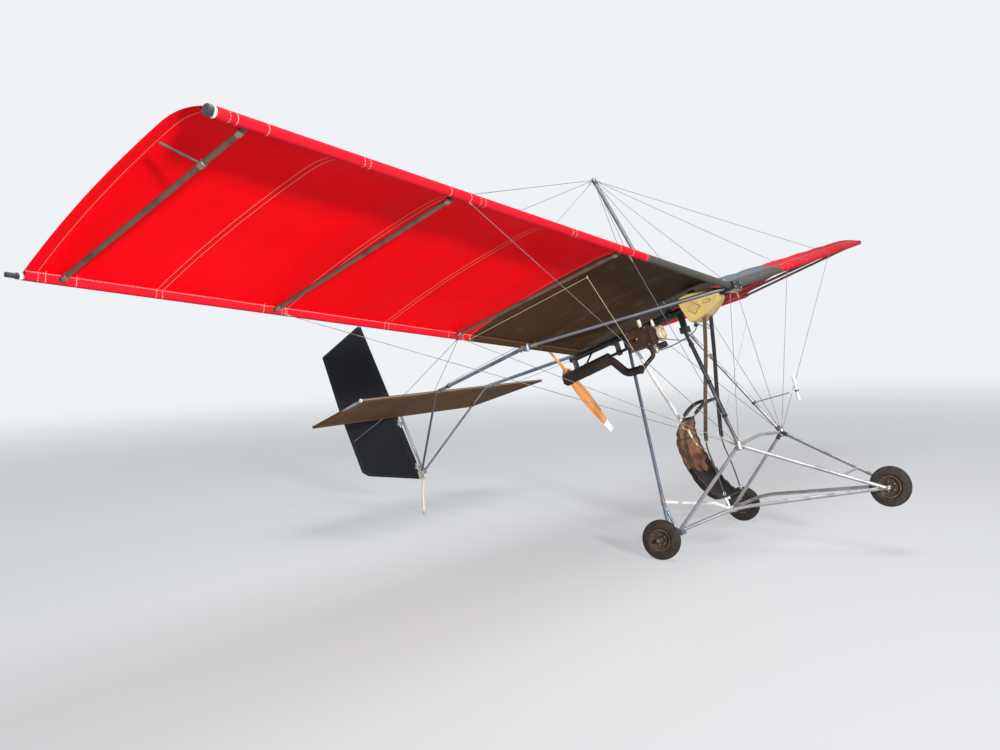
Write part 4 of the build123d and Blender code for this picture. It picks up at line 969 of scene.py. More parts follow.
def rim_finish(name, hub):
    """Dark paint that gives way to rust at the lip and round the hub."""
    finish = Finish(name, (0.05, 0.035, 0.028), 0.5, Specular_IOR_Level=0.4)
    reach = finish.reach(hub)
    y, z = finish.axis("Y", reach), finish.axis("Z", reach)
    radius = (y * y + z * z) ** 0.5
    chips = finish.noise(60.0, 5.0)
    rust = (radius.rise(0.064, 0.084) * 0.55 + chips * 0.9).rise(0.72, 0.98)
    colour = finish.mix(rust, finish.mix(chips, (0.032, 0.025, 0.021), (0.07, 0.048, 0.036)), (0.24, 0.12, 0.060))
    return finish.wear(colour, 0.42 + 0.4 * rust, None, rust * chips, 0.0010)


zinc = tube_finish("zinc_bolt", (0.62, 0.60, 0.52), (0.42, 0.38, 0.30), 0.35)
for wheel, level_hub in HUBS.items():
    hub = park(np.array(level_hub, float))
    rubber, rim_paint = rubber_finish(f"{wheel}_rubber", hub), rim_finish(f"{wheel}_rim_paint", hub)
    tread = turned(tyre_profile(TYRE_WIDTH), hub, (1, 0, 0), 96, closed=True)
    place_on(welded(f"{wheel}_tyre_tread", [tread], [rubber]), wheel, "tyre", f"{wheel}_tyre")
    other_half = tuple((-across, radius) for across, radius in RIM_SHELL[::-1])
    well = ((0.0265, 0.0803), (-0.0265, 0.0803))
    rim_shapes = [turned(RIM_SHELL + other_half + well, hub, (1, 0, 0), 72, closed=True)]
    bolts = []
    for face in (-1, 1):
        for turn in np.radians(np.arange(0, 360, 360 / RIM_BOLTS)):
            spot = hub + np.array((0, np.cos(turn), np.sin(turn))) * RIM_BOLT_CIRCLE + (face * RIM_FACE, 0, 0)
            nut = [(0, 0), (0, 0.0058), (0.0045, 0.0058), (0.0045, 0)]
            thread = [(0.004, 0), (0.004, 0.0030), (0.0085, 0.0026), (0.009, 0)]
            bolts += [marked(turned(part, spot, (face, 0, 0), sides), 1) for part, sides in ((nut, 6), (thread, 10))]
    valve = hub + np.array((-0.012, 0.050, -0.012))
    bolts.append(marked(rod(valve, valve + (-0.020, 0.006, 0.0), 0.0032, 12, 0.0006), 2))
    rim = welded(f"{wheel}_rim_dish", rim_shapes + bolts, [rim_paint, steel, rubber])
    place_on(rim, wheel, "rim_steel", f"{wheel}_rim")


# Engine: an air-cooled single browned by heat, its crankcase slung under the keel. The beige recoil
# starter is a spun cover with vents, held to the case's front by four screws.
CASE_WIDTH, CASE_Z = 0.104, 1.556
HEAD_FACE_X, HEAD_CENTRE = -0.222, (-0.005, 1.548)
STARTER_CENTRE = (0.0, -0.105, CASE_Z)
STARTER_VENTS, VENT_RING, VENT_FACE = 14, (0.031, 0.046), (0.028, 0.032)
LUG_CIRCLE = 0.0690


def cast_finish(name, colour, hot, soot_colour, metallic=0.3):
    """Sand-cast grain, browner in clouds where it ran hot, with sooty patches."""
    finish = Finish(name, colour, 0.55, metallic, Specular_IOR_Level=0.35)
    clouds = finish.noise(15.0, 5.0).rise(0.35, 0.68)
    soot = finish.noise(7.0, 4.0, stretch=(1, 1, 0.5)).rise(0.50, 0.74)
    grain = finish.noise(420.0, 2.0) * 0.2
    shade = finish.mix(soot * 0.8, finish.mix(clouds, colour, hot), soot_colour)
    return finish.wear(shade, 0.46 + 0.30 * clouds, metallic - 0.25 * soot, grain, 0.0006)


def paint_finish(name, colour, chipped, roughness=0.38, vents=None):
    """Paint with orange peel, chips to what is under it and oily dirt; vents are slots painted dark by radius and
    turn, as painted shade in openings that are only bumped.
    """
    finish = Finish(name, colour, roughness, Specular_IOR_Level=0.45)
    chips = finish.noise(75.0, 4.0).rise(0.66, 0.70)
    dirt = finish.noise(20.0, 5.0).rise(0.45, 0.80)
    shade = finish.mix(chips * 0.9, finish.mix(dirt * 0.45, colour, tuple(0.35 * c for c in colour)), chipped)
    height = 0.5 - 0.5 * chips + finish.noise(500.0, 1.0) * 0.12
    if vents is not None:
        centre, way, side = vents
        reach = finish.reach(centre)
        across, up, out = (finish.along(reach, axis) for axis in (side, np.cross(way, side), way))
        radius = (across * across + up * up) ** 0.5
        slot = (across.turn(up) * STARTER_VENTS).sine().rise(0.10, 0.35)
        slot = slot * radius.rise(VENT_RING[0], VENT_RING[0] + 0.002) * radius.rise(VENT_RING[1], VENT_RING[1] - 0.002)
        slot = slot * out.rise(*VENT_FACE)
        # The vent slots are painted near black: painted shade for openings that are not cut.
        shade = finish.mix(slot, shade, (0.02, 0.018, 0.016))
        height = height - slot
    return finish.wear(shade, roughness + 0.3 * dirt, None, height, 0.0012)


def lay(way):
    """A direction on the level machine, parked."""
    return park(way) - AXLE


hot_casting = cast_finish("hot_casting", (0.075, 0.045, 0.028), (0.12, 0.068, 0.038), (0.020, 0.014, 0.012))
grey_casting = cast_finish("grey_casting", (0.13, 0.115, 0.10), (0.09, 0.072, 0.060), (0.035, 0.030, 0.026), 0.45)
black_rubber = cast_finish("black_rubber", (0.020, 0.019, 0.018), (0.035, 0.032, 0.030), (0.050, 0.045, 0.038), 0.0)
alloy = cast_finish("alloy_body", (0.42, 0.41, 0.39), (0.28, 0.26, 0.23), (0.14, 0.12, 0.10), 0.6)
cream = paint_finish("cream_plastic", (0.78, 0.70, 0.52), (0.45, 0.38, 0.27))
starter_vents = (park(STARTER_CENTRE), lay((0, -1, 0)), (1, 0, 0))
beige = paint_finish("beige_paint", (0.66, 0.53, 0.35), (0.17, 0.13, 0.10), 0.36, starter_vents)
dress(hot_casting, "engine_cylinder", "cylinder_head")
dress(grey_casting, "engine_case")

cover = [
    (0.0, 0.0), (0.0, 0.0660), (0.006, 0.0668), (0.022, 0.0660), (0.030, 0.0625), (0.0355, 0.0545), (0.0365, 0.0505),
    (0.0345, 0.0480), (0.0345, 0.0300), (0.0370, 0.0270), (0.0390, 0.0232), (0.0440, 0.0220), (0.0455, 0.0195),
    (0.0455, 0.0085), (0.0435, 0.0070), (0.0435, 0.0),
]
starter = [turned(cover, STARTER_CENTRE, (0, -1, 0), 72)]
for turn in np.radians((45, 135, 225, 315)):
    lug = np.add(STARTER_CENTRE, (LUG_CIRCLE * np.cos(turn), 0, LUG_CIRCLE * np.sin(turn)))
    starter.append(turned([(0, 0), (0, 0.0095), (0.0085, 0.0095), (0.0100, 0.0080), (0.0100, 0)], lug, (0, -1, 0), 20))
    starter += screw(lug + (0, -0.0100, 0), (0, -1, 0), 0.0058, 1)
starter += screw(np.add(STARTER_CENTRE, (0, -0.0435, 0)), (0, -1, 0), 0.0070, 1)
fitted("starter_cover", "airframe", "engine_paint", starter, [beige, zinc], "starter_housing")

studs = []
for y in (-0.085, -0.030, 0.030, 0.085):
    for sign in (-1, 1):
        studs += screw((sign * CASE_WIDTH / 2, y, CASE_Z - 0.036), (sign, 0, 0), 0.0055)
for y in (-0.088, 0.078):
    for z in (-0.070, 0.070):
        studs += screw((HEAD_FACE_X + 0.002, y, HEAD_CENTRE[1] + z), (-1, 0, 0), 0.0055)
plug_face = (HEAD_FACE_X - 0.016, *HEAD_CENTRE)
studs.append(turned([(-0.002, 0), (-0.002, 0.0105), (0.006, 0.0105), (0.006, 0)], plug_face, (-1, 0, 0), 6))
fitted("engine_studs", "airframe", "steel", studs, [buckle_steel])


# Carburettor: a ribbed filter, a small alloy body with its float bowl and slide tower, and an elbow up
# into the cylinder. Two upright caps stand on the cylinder and on the crankcase.
FILTER_FRONT, FILTER_LENGTH, FILTER_RADIUS = (-0.084, -0.172, 1.450), 0.074, 0.026
CARBURETTOR_FRONT = (-0.084, -0.098, 1.457)
CAP_STAND, CAP_BASE_Z = (-0.120, -0.008), 1.624
PUMP_PLACE, PUMP_BASE_Z = (-0.038, -0.082), 1.606

ribs = [(0.0, 0.0), (0.0, 0.0195), (0.0020, 0.0240)]
for step in 0.0045 + 0.0073 * np.arange(9):
    ribs += [(step, FILTER_RADIUS), (step + 0.0034, FILTER_RADIUS), (step + 0.0046, 0.0236), (step + 0.0062, 0.0236)]
ribs += [(0.0705, FILTER_RADIUS), (0.0735, 0.0240), (FILTER_LENGTH, 0.0)]
body = [
    (0.0, 0.0), (0.0, 0.0185), (0.008, 0.0185), (0.010, 0.0165), (0.028, 0.0165), (0.030, 0.0205), (0.040, 0.0205),
    (0.042, 0.0165), (0.054, 0.0165), (0.056, 0.0240), (0.062, 0.0240), (0.062, 0.0),
]
bowl = [
    (0.0, 0.0), (0.0, 0.0190), (0.019, 0.0190), (0.020, 0.0215), (0.024, 0.0215), (0.026, 0.0180), (0.038, 0.0160),
    (0.042, 0.0080), (0.048, 0.0055), (0.048, 0.0),
]
tower = [
    (0.0, 0.0), (0.0, 0.0135), (0.026, 0.0135), (0.027, 0.0150), (0.036, 0.0150), (0.038, 0.0120), (0.042, 0.0045),
    (0.052, 0.0040), (0.052, 0.0),
]
throat = np.add(CARBURETTOR_FRONT, (0, 0.026, 0))
circle = np.stack([f(np.linspace(0, 2 * np.pi, 24, endpoint=False)) for f in (np.cos, np.sin)], -1)
elbow_line = [(0, 0.058, 0), (0, 0.078, 0.002), (-0.004, 0.090, 0.012), (-0.008, 0.092, 0.045)]
elbow = smooth(np.add(CARBURETTOR_FRONT, elbow_line))
filter_clip = [(0.066, 0.0262), (0.066, 0.0270), (0.071, 0.0270), (0.071, 0.0262)]
stand_body = [
    (0, 0), (0, 0.0170), (0.030, 0.0170), (0.032, 0.0150), (0.040, 0.0150), (0.042, 0.0185), (0.070, 0.0180),
    (0.084, 0.0150), (0.084, 0),
]
stand_top = [(0.082, 0), (0.082, 0.0105), (0.094, 0.0098), (0.100, 0.0060), (0.101, 0)]
pump_body = [(0, 0), (0, 0.0155), (0.012, 0.0155), (0.014, 0.0135), (0.026, 0.0135), (0.026, 0)]
pump_cap = [
    (0.024, 0), (0.024, 0.0165), (0.034, 0.0168), (0.036, 0.0145), (0.062, 0.0135), (0.078, 0.0090), (0.080, 0),
]
parts = [
    marked(turned(ribs, FILTER_FRONT, (0, 1, 0), 40), 1),
    marked(turned(filter_clip, FILTER_FRONT, (0, 1, 0), 40, True), 2),
    turned(body, CARBURETTOR_FRONT, (0, 1, 0), 36),
    turned(bowl, throat + (0, 0, -0.010), (0, 0, -1), 32),
    marked(turned(tower, throat + (0, 0, 0.008), (0, 0, 1), 28), 2),
    marked(swept(elbow, circle * 0.0150), 1),
]
for x in (0.0195, -0.0195):
    parts += screw(np.add(CARBURETTOR_FRONT, (x, 0.062, 0.0)), (0, 1, 0), 0.0038, 2)
stand, pump = (*CAP_STAND, CAP_BASE_Z), (*PUMP_PLACE, PUMP_BASE_Z)
parts += [
    marked(turned(stand_body, stand, (0, 0, 1), 32), 3), marked(turned(stand_top, stand, (0, 0, 1), 28), 1),
    turned(pump_body, pump, (0, 0, 1), 32), marked(turned(pump_cap, pump, (0, 0, 1), 32), 3),
]
fitted("carburettor_set", "airframe", "engine_paint", parts, [alloy, black_rubber, zinc, cream], "carburettor")


# Exhaust: black heat-stained steel. Spring-steel bands clamp its joints, a collar ends the silencer,
# and a short outlet stands out of the collar.
BEND_ENDS = ((-0.200, 0.045, 1.309), (-0.200, 0.185, 1.315))
SILENCER_RUN = ((-0.200, 0.300, 1.478), (-0.200, 0.762, 1.436))
HEADER_RUN = ((-0.140, -0.050, 1.472), (-0.140, -0.064, 1.392))
BEND_RADIUS, SILENCER_RADIUS, HEADER_RADIUS = 0.033, 0.052, 0.018
CLAMP_SHARE, COLLAR_SHARE, HANGER_SHARE, HANGER_TOP = 0.10, 0.945, 0.50, 1.612


def band(at, way, radius, width, proud=0.003):
    """A closed ring round a tube, its edges eased."""
    half, ease = width / 2, proud * 0.35
    side = [(-half, -0.001), (-half, proud - ease), (ease - half, proud)]
    profile = side + [(-along, out) for along, out in side[::-1]]
    return turned([(along, radius + out) for along, out in profile], at, way, 40, closed=True)


burnt = cast_finish("burnt_steel", (0.014, 0.012, 0.012), (0.030, 0.020, 0.016), (0.055, 0.030, 0.018), 0.3)
dress(burnt, "exhaust")
bend_way, silencer_way = np.subtract(*BEND_ENDS[::-1]), np.subtract(*SILENCER_RUN[::-1])
bend_clamp, hanger = between(*BEND_ENDS, CLAMP_SHARE), between(*SILENCER_RUN, HANGER_SHARE)
rings = [
    band(bend_clamp, bend_way, BEND_RADIUS, 0.016),
    band(between(*HEADER_RUN, CLAMP_SHARE), np.subtract(*HEADER_RUN), HEADER_RADIUS, 0.014, 0.010),
    band(between(*SILENCER_RUN, 0.02), silencer_way, SILENCER_RADIUS, 0.010, 0.002),
    band(between(*SILENCER_RUN, COLLAR_SHARE), silencer_way, SILENCER_RADIUS, 0.040, 0.0035),
    band(hanger, silencer_way, SILENCER_RADIUS, 0.014, 0.0025),
]
outlet = [(0, 0.0125), (0.022, 0.0125), (0.022, 0.0105), (-0.004, 0.0105), (-0.004, 0.0125)]
rings.append(turned(outlet, np.add(SILENCER_RUN[1], (0, 0, -0.020)), silencer_way, 28, True))
rings.append(bar(hanger + (0.010, 0, 0.050), (-0.022, hanger[1], HANGER_TOP), 0.020, 0.004, (0, 1, 0)))
for at, way in ((bend_clamp + (0, 0, -0.037), 1), (hanger + (0.012, 0.0, 0.058), -1)):
    rings += [marked(shape, 1) for shape in bolt(at + (0.006 * way, 0, 0), (way, 0, 0), 0.0055, 0.012)]
fitted("exhaust_clamps", "airframe", "black_steel", rings, [burnt, zinc])


# Drive line and propeller: a dark shaft in two plummer blocks, and a laminated wooden propeller, oiled
# orange with white-painted tips, bolted between its flange and a plate.
SHAFT_FRONT, PROP_HUB = (0.0, 0.112, 1.540), (0.0, 0.840, 1.491)
PROP_ANGLE = np.radians(53)
WHITE_FROM, PLY = 0.577, 0.016
PROP_FACE, PROP_BOLT_CIRCLE = 0.020, 0.0335
BEARING_YS = (0.300, 0.735)

shaft_way = unit(np.subtract(PROP_HUB, SHAFT_FRONT))
blade_way = np.array((np.cos(PROP_ANGLE), 0, 0)) + np.sin(PROP_ANGLE) * np.cross(shaft_way, (1.0, 0.0, 0.0))
hub_place = park(PROP_HUB)


def wood_finish():
    """Long grain along the blade, glue lines where the laminations surface, and white past a radius."""
    finish = Finish("propeller_wood", (0.72, 0.30, 0.07), 0.32, Coat_Weight=0.35, Coat_Roughness=0.18)
    reach = finish.reach(hub_place)
    axes = (blade_way, shaft_way, np.cross(blade_way, shaft_way))
    along, through, across = (finish.along(reach, lay(axis)) for axis in axes)
    drawn = finish.node("ShaderNodeCombineXYZ", {}, {"X": along * 3.0, "Y": through * 90.0, "Z": across * 90.0})
    grain = finish.node("ShaderNodeTexNoise", {}, {"Vector": drawn, "Scale": 1.0, "Detail": 6.0}).rise(0.36, 0.66)
    glue = through.nearest(PLY).rise(0.0009, 0.0004)
    shade = (through.wave(2 * PLY) * 0.6 + grain * 0.5).least(1.0)
    wood = finish.mix(shade, (0.82, 0.35, 0.085), (0.56, 0.205, 0.045))
    wood = finish.mix(glue * 0.6, wood, (0.16, 0.07, 0.03))
    chips = finish.noise(70.0, 3.0).rise(0.68, 0.72)
    white = abs(along).rise(WHITE_FROM, WHITE_FROM + 0.0015) * (1 - 0.8 * chips)
    grime = finish.noise(9.0, 4.0).rise(0.55, 0.8)
    paint = finish.mix(grime * 0.3, (0.84, 0.83, 0.79), (0.55, 0.50, 0.42))
    height = grain * 0.2 + white * 0.8
    return finish.wear(finish.mix(white, wood, paint), 0.28 + 0.2 * grain + 0.1 * white, None, height, 0.0004)


dress(wood_finish(), "propeller")
dark_steel = tube_finish("dark_steel", (0.085, 0.080, 0.075), (0.045, 0.042, 0.040), 0.40, 0.7)
dress(dark_steel, "drive_shaft")
plate = [(0.0, 0.0), (0.0, 0.0450), (0.0045, 0.0450), (0.0060, 0.0435), (0.0060, 0.0)]
shaft_nut = [(0.006, 0), (0.006, 0.0160), (0.022, 0.0160), (0.024, 0.0140), (0.024, 0)]
hub_face = np.add(PROP_HUB, shaft_way * PROP_FACE)
hub_parts = [turned(plate, hub_face, shaft_way, 48), turned(shaft_nut, hub_face, shaft_way, 6)]
hub_side = np.cross(shaft_way, (1.0, 0.0, 0.0))
for turn in np.radians(np.arange(30, 390, 60)):
    spot = np.add(PROP_HUB, PROP_BOLT_CIRCLE * (np.cos(turn) * np.array((1.0, 0, 0)) + np.sin(turn) * hub_side))
    hub_parts += [marked(shape, 1) for shape in bolt(spot + shaft_way * 0.026, shaft_way, 0.0062, 0.054)]
fitted("propeller_plate", "propeller", "steel", hub_parts, [dark_steel, zinc])

bearing_parts, bearing_cap = [], [(0, 0.0150), (0, 0.0240), (0.002, 0.0240), (0.003, 0.0225), (0.003, 0.0150)]
for y in BEARING_YS:
    centre = between(SHAFT_FRONT, PROP_HUB, (y - SHAFT_FRONT[1]) / (PROP_HUB[1] - SHAFT_FRONT[1]))
    for way in (-1, 1):
        face = centre + shaft_way * way * 0.015
        bearing_parts.append(turned(bearing_cap, face, way * shaft_way, 36, True))
    for sign in (-1, 1):
        bearing_parts += screw(centre + (sign * 0.020, 0, 0.044), (sign, 0, 0), 0.0055, 1)
fitted("bearing_caps", "airframe", "steel", bearing_parts, [dark_steel, zinc])


# Fuel tank: a blow-moulded wedge of yellowed plastic round the keel. Each flank has a square and an
# oval hollow with painted shade in and round it, fuel and painted shade darken the bottom and the
# rear, and a screw cap stands on top.
TANK_SIDE = (
    (-0.715, 1.650), (-0.700, 1.742), (-0.600, 1.766), (-0.410, 1.760), (-0.396, 1.690), (-0.440, 1.535),
    (-0.475, 1.528), (-0.612, 1.578),
)
TANK_PLAN = ((-0.716, 0.058), (-0.396, 0.180))
TANK_HOLLOW, FLANK_FROM = 0.010, 0.9
SQUARE_AT, SQUARE_REACH = (0.66, 1.640), 0.0537
OVAL_AT, OVAL_HALVES, OVAL_SLOPE = (0.34, 1.662), (0.030, 0.015), 0.018
FUEL_AND_SHADE_LEVEL = 1.815
TAP, FILLER = (-0.060, -0.452, 1.512), (-0.075, -0.500, 1.757)

outline = np.array(TANK_SIDE)
for _ in range(4):
    following = np.roll(outline, -1, axis=0)
    outline = np.stack((outline * 0.82 + following * 0.18, outline * 0.18 + following * 0.82), 1).reshape(-1, 2)
steps = np.linalg.norm(np.roll(outline, -1, axis=0) - outline, axis=1)
at = np.linspace(0, steps.sum(), 220, endpoint=False)
walked_steps = np.concatenate(([0], np.cumsum(steps)))
outline = np.stack([np.interp(at, walked_steps, np.append(outline[:, i], outline[0, i])) for i in (0, 1)], -1)
middle = (outline.max(0) + outline.min(0)) / 2
eased = 0.90 + 0.10 * np.sin(np.linspace(0, np.pi / 2, 12))
shrink = np.concatenate((np.linspace(0, 0.90, 54), eased[1:]))
bulge = (1 - np.clip((shrink - 0.90) / 0.10, 0, 1) ** 3.2) ** (1 / 2.2)
shrink = np.concatenate((shrink, shrink[::-1][1:]))
reach_x = np.concatenate((-bulge, bulge[::-1][1:]))
yz = middle + (outline - middle)[None] * shrink[:, None, None]
half = np.interp(yz[..., 0], *zip(*TANK_PLAN))
share = (yz[..., 0] - TANK_PLAN[0][0]) / (TANK_PLAN[1][0] - TANK_PLAN[0][0])
run = share * np.hypot(TANK_PLAN[1][0] - TANK_PLAN[0][0], TANK_PLAN[1][1] - TANK_PLAN[0][1])
full_run = run.max() / share.max()
square = np.abs(run - SQUARE_AT[0] * full_run) + np.abs(yz[..., 1] - SQUARE_AT[1]) - SQUARE_REACH
from_oval = ((run - OVAL_AT[0] * full_run) / OVAL_HALVES[0], (yz[..., 1] - OVAL_AT[1]) / OVAL_HALVES[1])
oval = (np.hypot(*from_oval) - 1) * OVAL_SLOPE
on_flank = np.abs(reach_x)[:, None] > FLANK_FROM
hollow = np.clip(-np.minimum(square, oval) / 0.006 + 0.5, 0, 1)
hollow = hollow * hollow * (3 - 2 * hollow) * on_flank
flank_wave = 0.0016 * np.sin(2 * np.pi * yz[..., 0] / 0.19) * np.sin(2 * np.pi * yz[..., 1] / 0.17)
x = reach_x[:, None] * half - np.sign(reach_x)[:, None] * (TANK_HOLLOW * hollow + flank_wave * on_flank)


def tank_finish():
    """Yellow plastic, paler where scuffed, greenish brown below a level that rises towards the rear and is partly fuel
    and partly painted shade, painted shade in and round the flank hollows, with a moulding line.
    """
    finish = Finish("tank_plastic", (0.80, 0.58, 0.19), 0.36, Coat_Weight=0.15, Coat_Roughness=0.3)
    height, side = finish.axis("Z"), abs(finish.axis("X"))
    clouds = finish.noise(7.0, 4.0).rise(0.35, 0.70)
    # Partly fuel, partly painted shade: darker below a level that rises towards the rear flank.
    fuel_and_painted_shade = (height - 0.22 * finish.axis("Y") + finish.noise(5.0, 2.0) * 0.03).rise(FUEL_AND_SHADE_LEVEL + 0.075, FUEL_AND_SHADE_LEVEL)
    dry = finish.mix(clouds * 0.6, (0.52, 0.37, 0.115), (0.36, 0.235, 0.060))
    colour = finish.mix(fuel_and_painted_shade * 0.85, dry, (0.17, 0.125, 0.035))
    flank = finish.node("ShaderNodeUVMap", {"uv_map": "cloth"})
    square, oval = finish.axis("X", flank), finish.axis("Y", flank)
    # Darker rims and floors of the square and oval hollows: painted shade of the hollows.
    rim = abs(square).rise(0.0080, 0.0010).most(abs(oval).rise(0.0060, 0.0010))
    hollow_painted_shade = square.rise(0.001, -0.001).most(oval.rise(0.001, -0.001))
    colour = finish.mix(rim * 0.5, finish.mix(hollow_painted_shade * 0.3, colour, (0.26, 0.16, 0.045)), (0.16, 0.09, 0.025))
    seam = side.rise(0.0016, 0.0006)
    scuffs = finish.noise(160.0, 3.0, stretch=(1, 0.3, 1)).rise(0.60, 0.75)
    colour = finish.mix(scuffs * 0.25, colour, (0.90, 0.78, 0.45))
    return finish.wear(colour, 0.30 + 0.25 * clouds + 0.2 * scuffs, None, seam + scuffs * 0.2, 0.0010)


def keel_height(y):
    """The keel's middle line at y."""
    return np.interp(y, (-0.772, 0.775), (1.701, 1.608))


tank_cap = [
    (0, 0), (0, 0.0290), (0.006, 0.0290), (0.006, 0.0260), (0.009, 0.0260), (0.009, 0.0300), (0.024, 0.0290),
    (0.026, 0.0270), (0.026, 0.0110), (0.0235, 0.0100), (0.0235, 0),
]
tap_neck = [(0, 0), (0, 0.0100), (0.016, 0.0100), (0.018, 0.0070), (0.030, 0.0070), (0.030, 0)]
tank_parts = [
    grid(np.stack((x, yz[..., 0], yz[..., 1]), -1), wrap_columns=True),
    marked(turned(tank_cap, FILLER, (0, 0, 1), 40), 1),
    marked(turned(tap_neck, np.add(TAP, (0, 0, 0.024)), (0, 0, -1), 24), 1),
    marked(bar(np.add(TAP, (-0.016, 0, 0)), np.add(TAP, (0.016, 0, 0)), 0.030, 0.022, (0, 1, 0)), 1),
]
far_from_hollows = np.ones((sum(len(shape[0]) for shape in tank_parts[1:]), 2))
hollow_uv = np.stack((square + ~on_flank, oval + ~on_flank), -1).reshape(-1, 2)
fitted(
    "fuel_tank_shell", "airframe", "tank_plastic", tank_parts, [tank_finish(), black_rubber], "fuel_tank",
    uv=np.concatenate((hollow_uv, far_from_hollows)),
)


# Airspeed tube: a white plastic tube on a grey arm, held by a clamp on the port front tube. Plain rings
# stand for its scale.
AIRSPEED_FOOT, AIRSPEED_TOP, AIRSPEED_RADIUS = (0.400, -0.904, 0.715), (0.400, -0.918, 0.913), 0.012
FRONT_TOP, FOOT_CORNER = (0.020, -0.324, 1.513), (0.481, -0.656, 0.508)
ARM_SHARE, ARM_END_X = 0.709, 0.386
SCALE_RINGS, SCALE_SPAN, CLIP_AT = 12, (0.18, 0.88), 0.39


def shaded_plastic(name, colour, dirt_colour, roughness=0.3, arm=None):
    """Smooth moulded plastic, yellowed in clouds and scratched; nearer the middle than arm it is grey."""
    finish = Finish(name, colour, roughness, Coat_Weight=0.2, Coat_Roughness=0.15)
    clouds = finish.noise(18.0, 4.0).rise(0.40, 0.75)
    marks = finish.noise(240.0, 2.0, stretch=(1, 1, 0.15)).rise(0.55, 0.75)
    shade = finish.mix(clouds * 0.5 + marks * 0.2, colour, dirt_colour)
    if arm:
        shade = finish.mix(finish.axis("X").rise(arm + 0.001, arm), shade, (0.17, 0.17, 0.18))
    return finish.wear(shade, roughness + 0.25 * clouds, None, marks, 0.0002)


white_plastic = shaded_plastic("white_plastic", (0.74, 0.73, 0.69), (0.48, 0.43, 0.35), 0.3, ARM_END_X)
black_plastic = shaded_plastic("black_plastic", (0.022, 0.021, 0.021), (0.060, 0.054, 0.048), 0.42)
grey_plastic = shaded_plastic("grey_plastic", (0.42, 0.40, 0.36), (0.25, 0.22, 0.18))
dress(white_plastic, "airspeed_indicator")
airspeed_way = np.subtract(AIRSPEED_TOP, AIRSPEED_FOOT)
airspeed_parts = [
    band(at, airspeed_way, AIRSPEED_RADIUS, 0.0016, 0.0006)
    for at in between(AIRSPEED_FOOT, AIRSPEED_TOP, np.linspace(*SCALE_SPAN, SCALE_RINGS))
]
clip_place = between(AIRSPEED_FOOT, AIRSPEED_TOP, CLIP_AT)
airspeed_parts.append(marked(band(clip_place, airspeed_way, AIRSPEED_RADIUS, 0.016, 0.0035), 1))
fitted("airspeed_rings", "airframe", "white_plastic", airspeed_parts, [grey_plastic, black_plastic])


# Clamps and end fittings: black clips on the front tubes, tail struts and boom, cream end plugs, sleeved
# knuckles at the strut ends, a plated corner, and bolts through every joint.
CORNER_X, TUBE, BIG_TUBE, BAR_TUBE = 0.750, 0.014, 0.016, 0.0125
KINGPOST_FOOT, KINGPOST_TOP = (0.0, -0.235, 1.700), (0.0, 0.057, 2.985)
REAR_TOP, REAR_FOOT = (0.042, 0.180, 1.560), (0.657, 0.010, 0.0)
STAB_BOOM, TAIL_SOCKET = (0.394, 1.985, 1.712), (0.020, 2.694, 1.100)
AXLE_BLOCK_X, LOWER_BEND, CROSS_JOINT = 0.540, (0.335, -0.412, 0.061), (0.558, 0.038, 0.253)
KNUCKLE_CAP = ((0, 0), (0, 0.0125), (0.004, 0.0125), (0.007, 0.0090), (0.007, 0))
AXLE_THREAD = ((0.008, 0), (0.008, 0.0072), (0.016, 0.0072), (0.018, 0.0060), (0.018, 0))
CORNER_DISC = ((0, 0), (0, 0.0200), (0.003, 0.0200), (0.003, 0))
TIP_PLUG = ((-0.014, 0), (-0.014, 0.0262), (0.010, 0.0262), (0.014, 0.0225), (0.015, 0.0))
TUBE_CAP = ((0, 0), (0, 0.0150), (0.008, 0.0150), (0.012, 0.0110), (0.012, 0))
KINGPOST_CAP = ((0, 0), (0, 0.0160), (0.008, 0.0160), (0.014, 0.0120), (0.016, 0))


def mirrored(place, sign):
    """A place of the port side, on the side of this sign."""
    return np.multiply(place, (sign, 1, 1))


def edge_places(x, sign):
    """The middles of the leading edge tube and the trailing edge tube at span x on one side."""
    return [mirrored(between(root, tip, x / tip[0]), sign) for tip, root in ((LE_TIP, NOSE), (TE_TIP, TE_ROOT))]


clips, plates, plugs = [], [], []
for sign, shares in ((-1, (0.14, 0.47, 0.76)), (1, (ARM_SHARE,))):
    foot, top = mirrored(FOOT_CORNER, sign), mirrored(FRONT_TOP, sign)
    for share in shares:
        at, way = between(top, foot, share), unit(foot - top)
        clips.append(band(at, way, TUBE, 0.024, 0.0045))
        clips.append(bar(at + (0.016 * sign, -0.010, 0), at + (0.016 * sign, -0.034, 0), 0.016, 0.010, (1, 0, 0)))
from_middle = np.subtract(FOOT_CORNER, (0, *FRONT_TOP[1:]))
plugs.append(band(between(FRONT_TOP, FOOT_CORNER, 0.255), from_middle, TUBE, 0.030, 0.0045))
boom_run = (edge_places(CORNER_X, -1)[1], mirrored(STAB_BOOM, -1))
clips.append(band(between(*boom_run, 0.85), np.subtract(*boom_run), BIG_TUBE, 0.022, 0.0045))
clips.append(band(between(STAB_BOOM, TAIL_SOCKET, 0.215), np.subtract(STAB_BOOM, TAIL_SOCKET), 0.010, 0.030, 0.005))

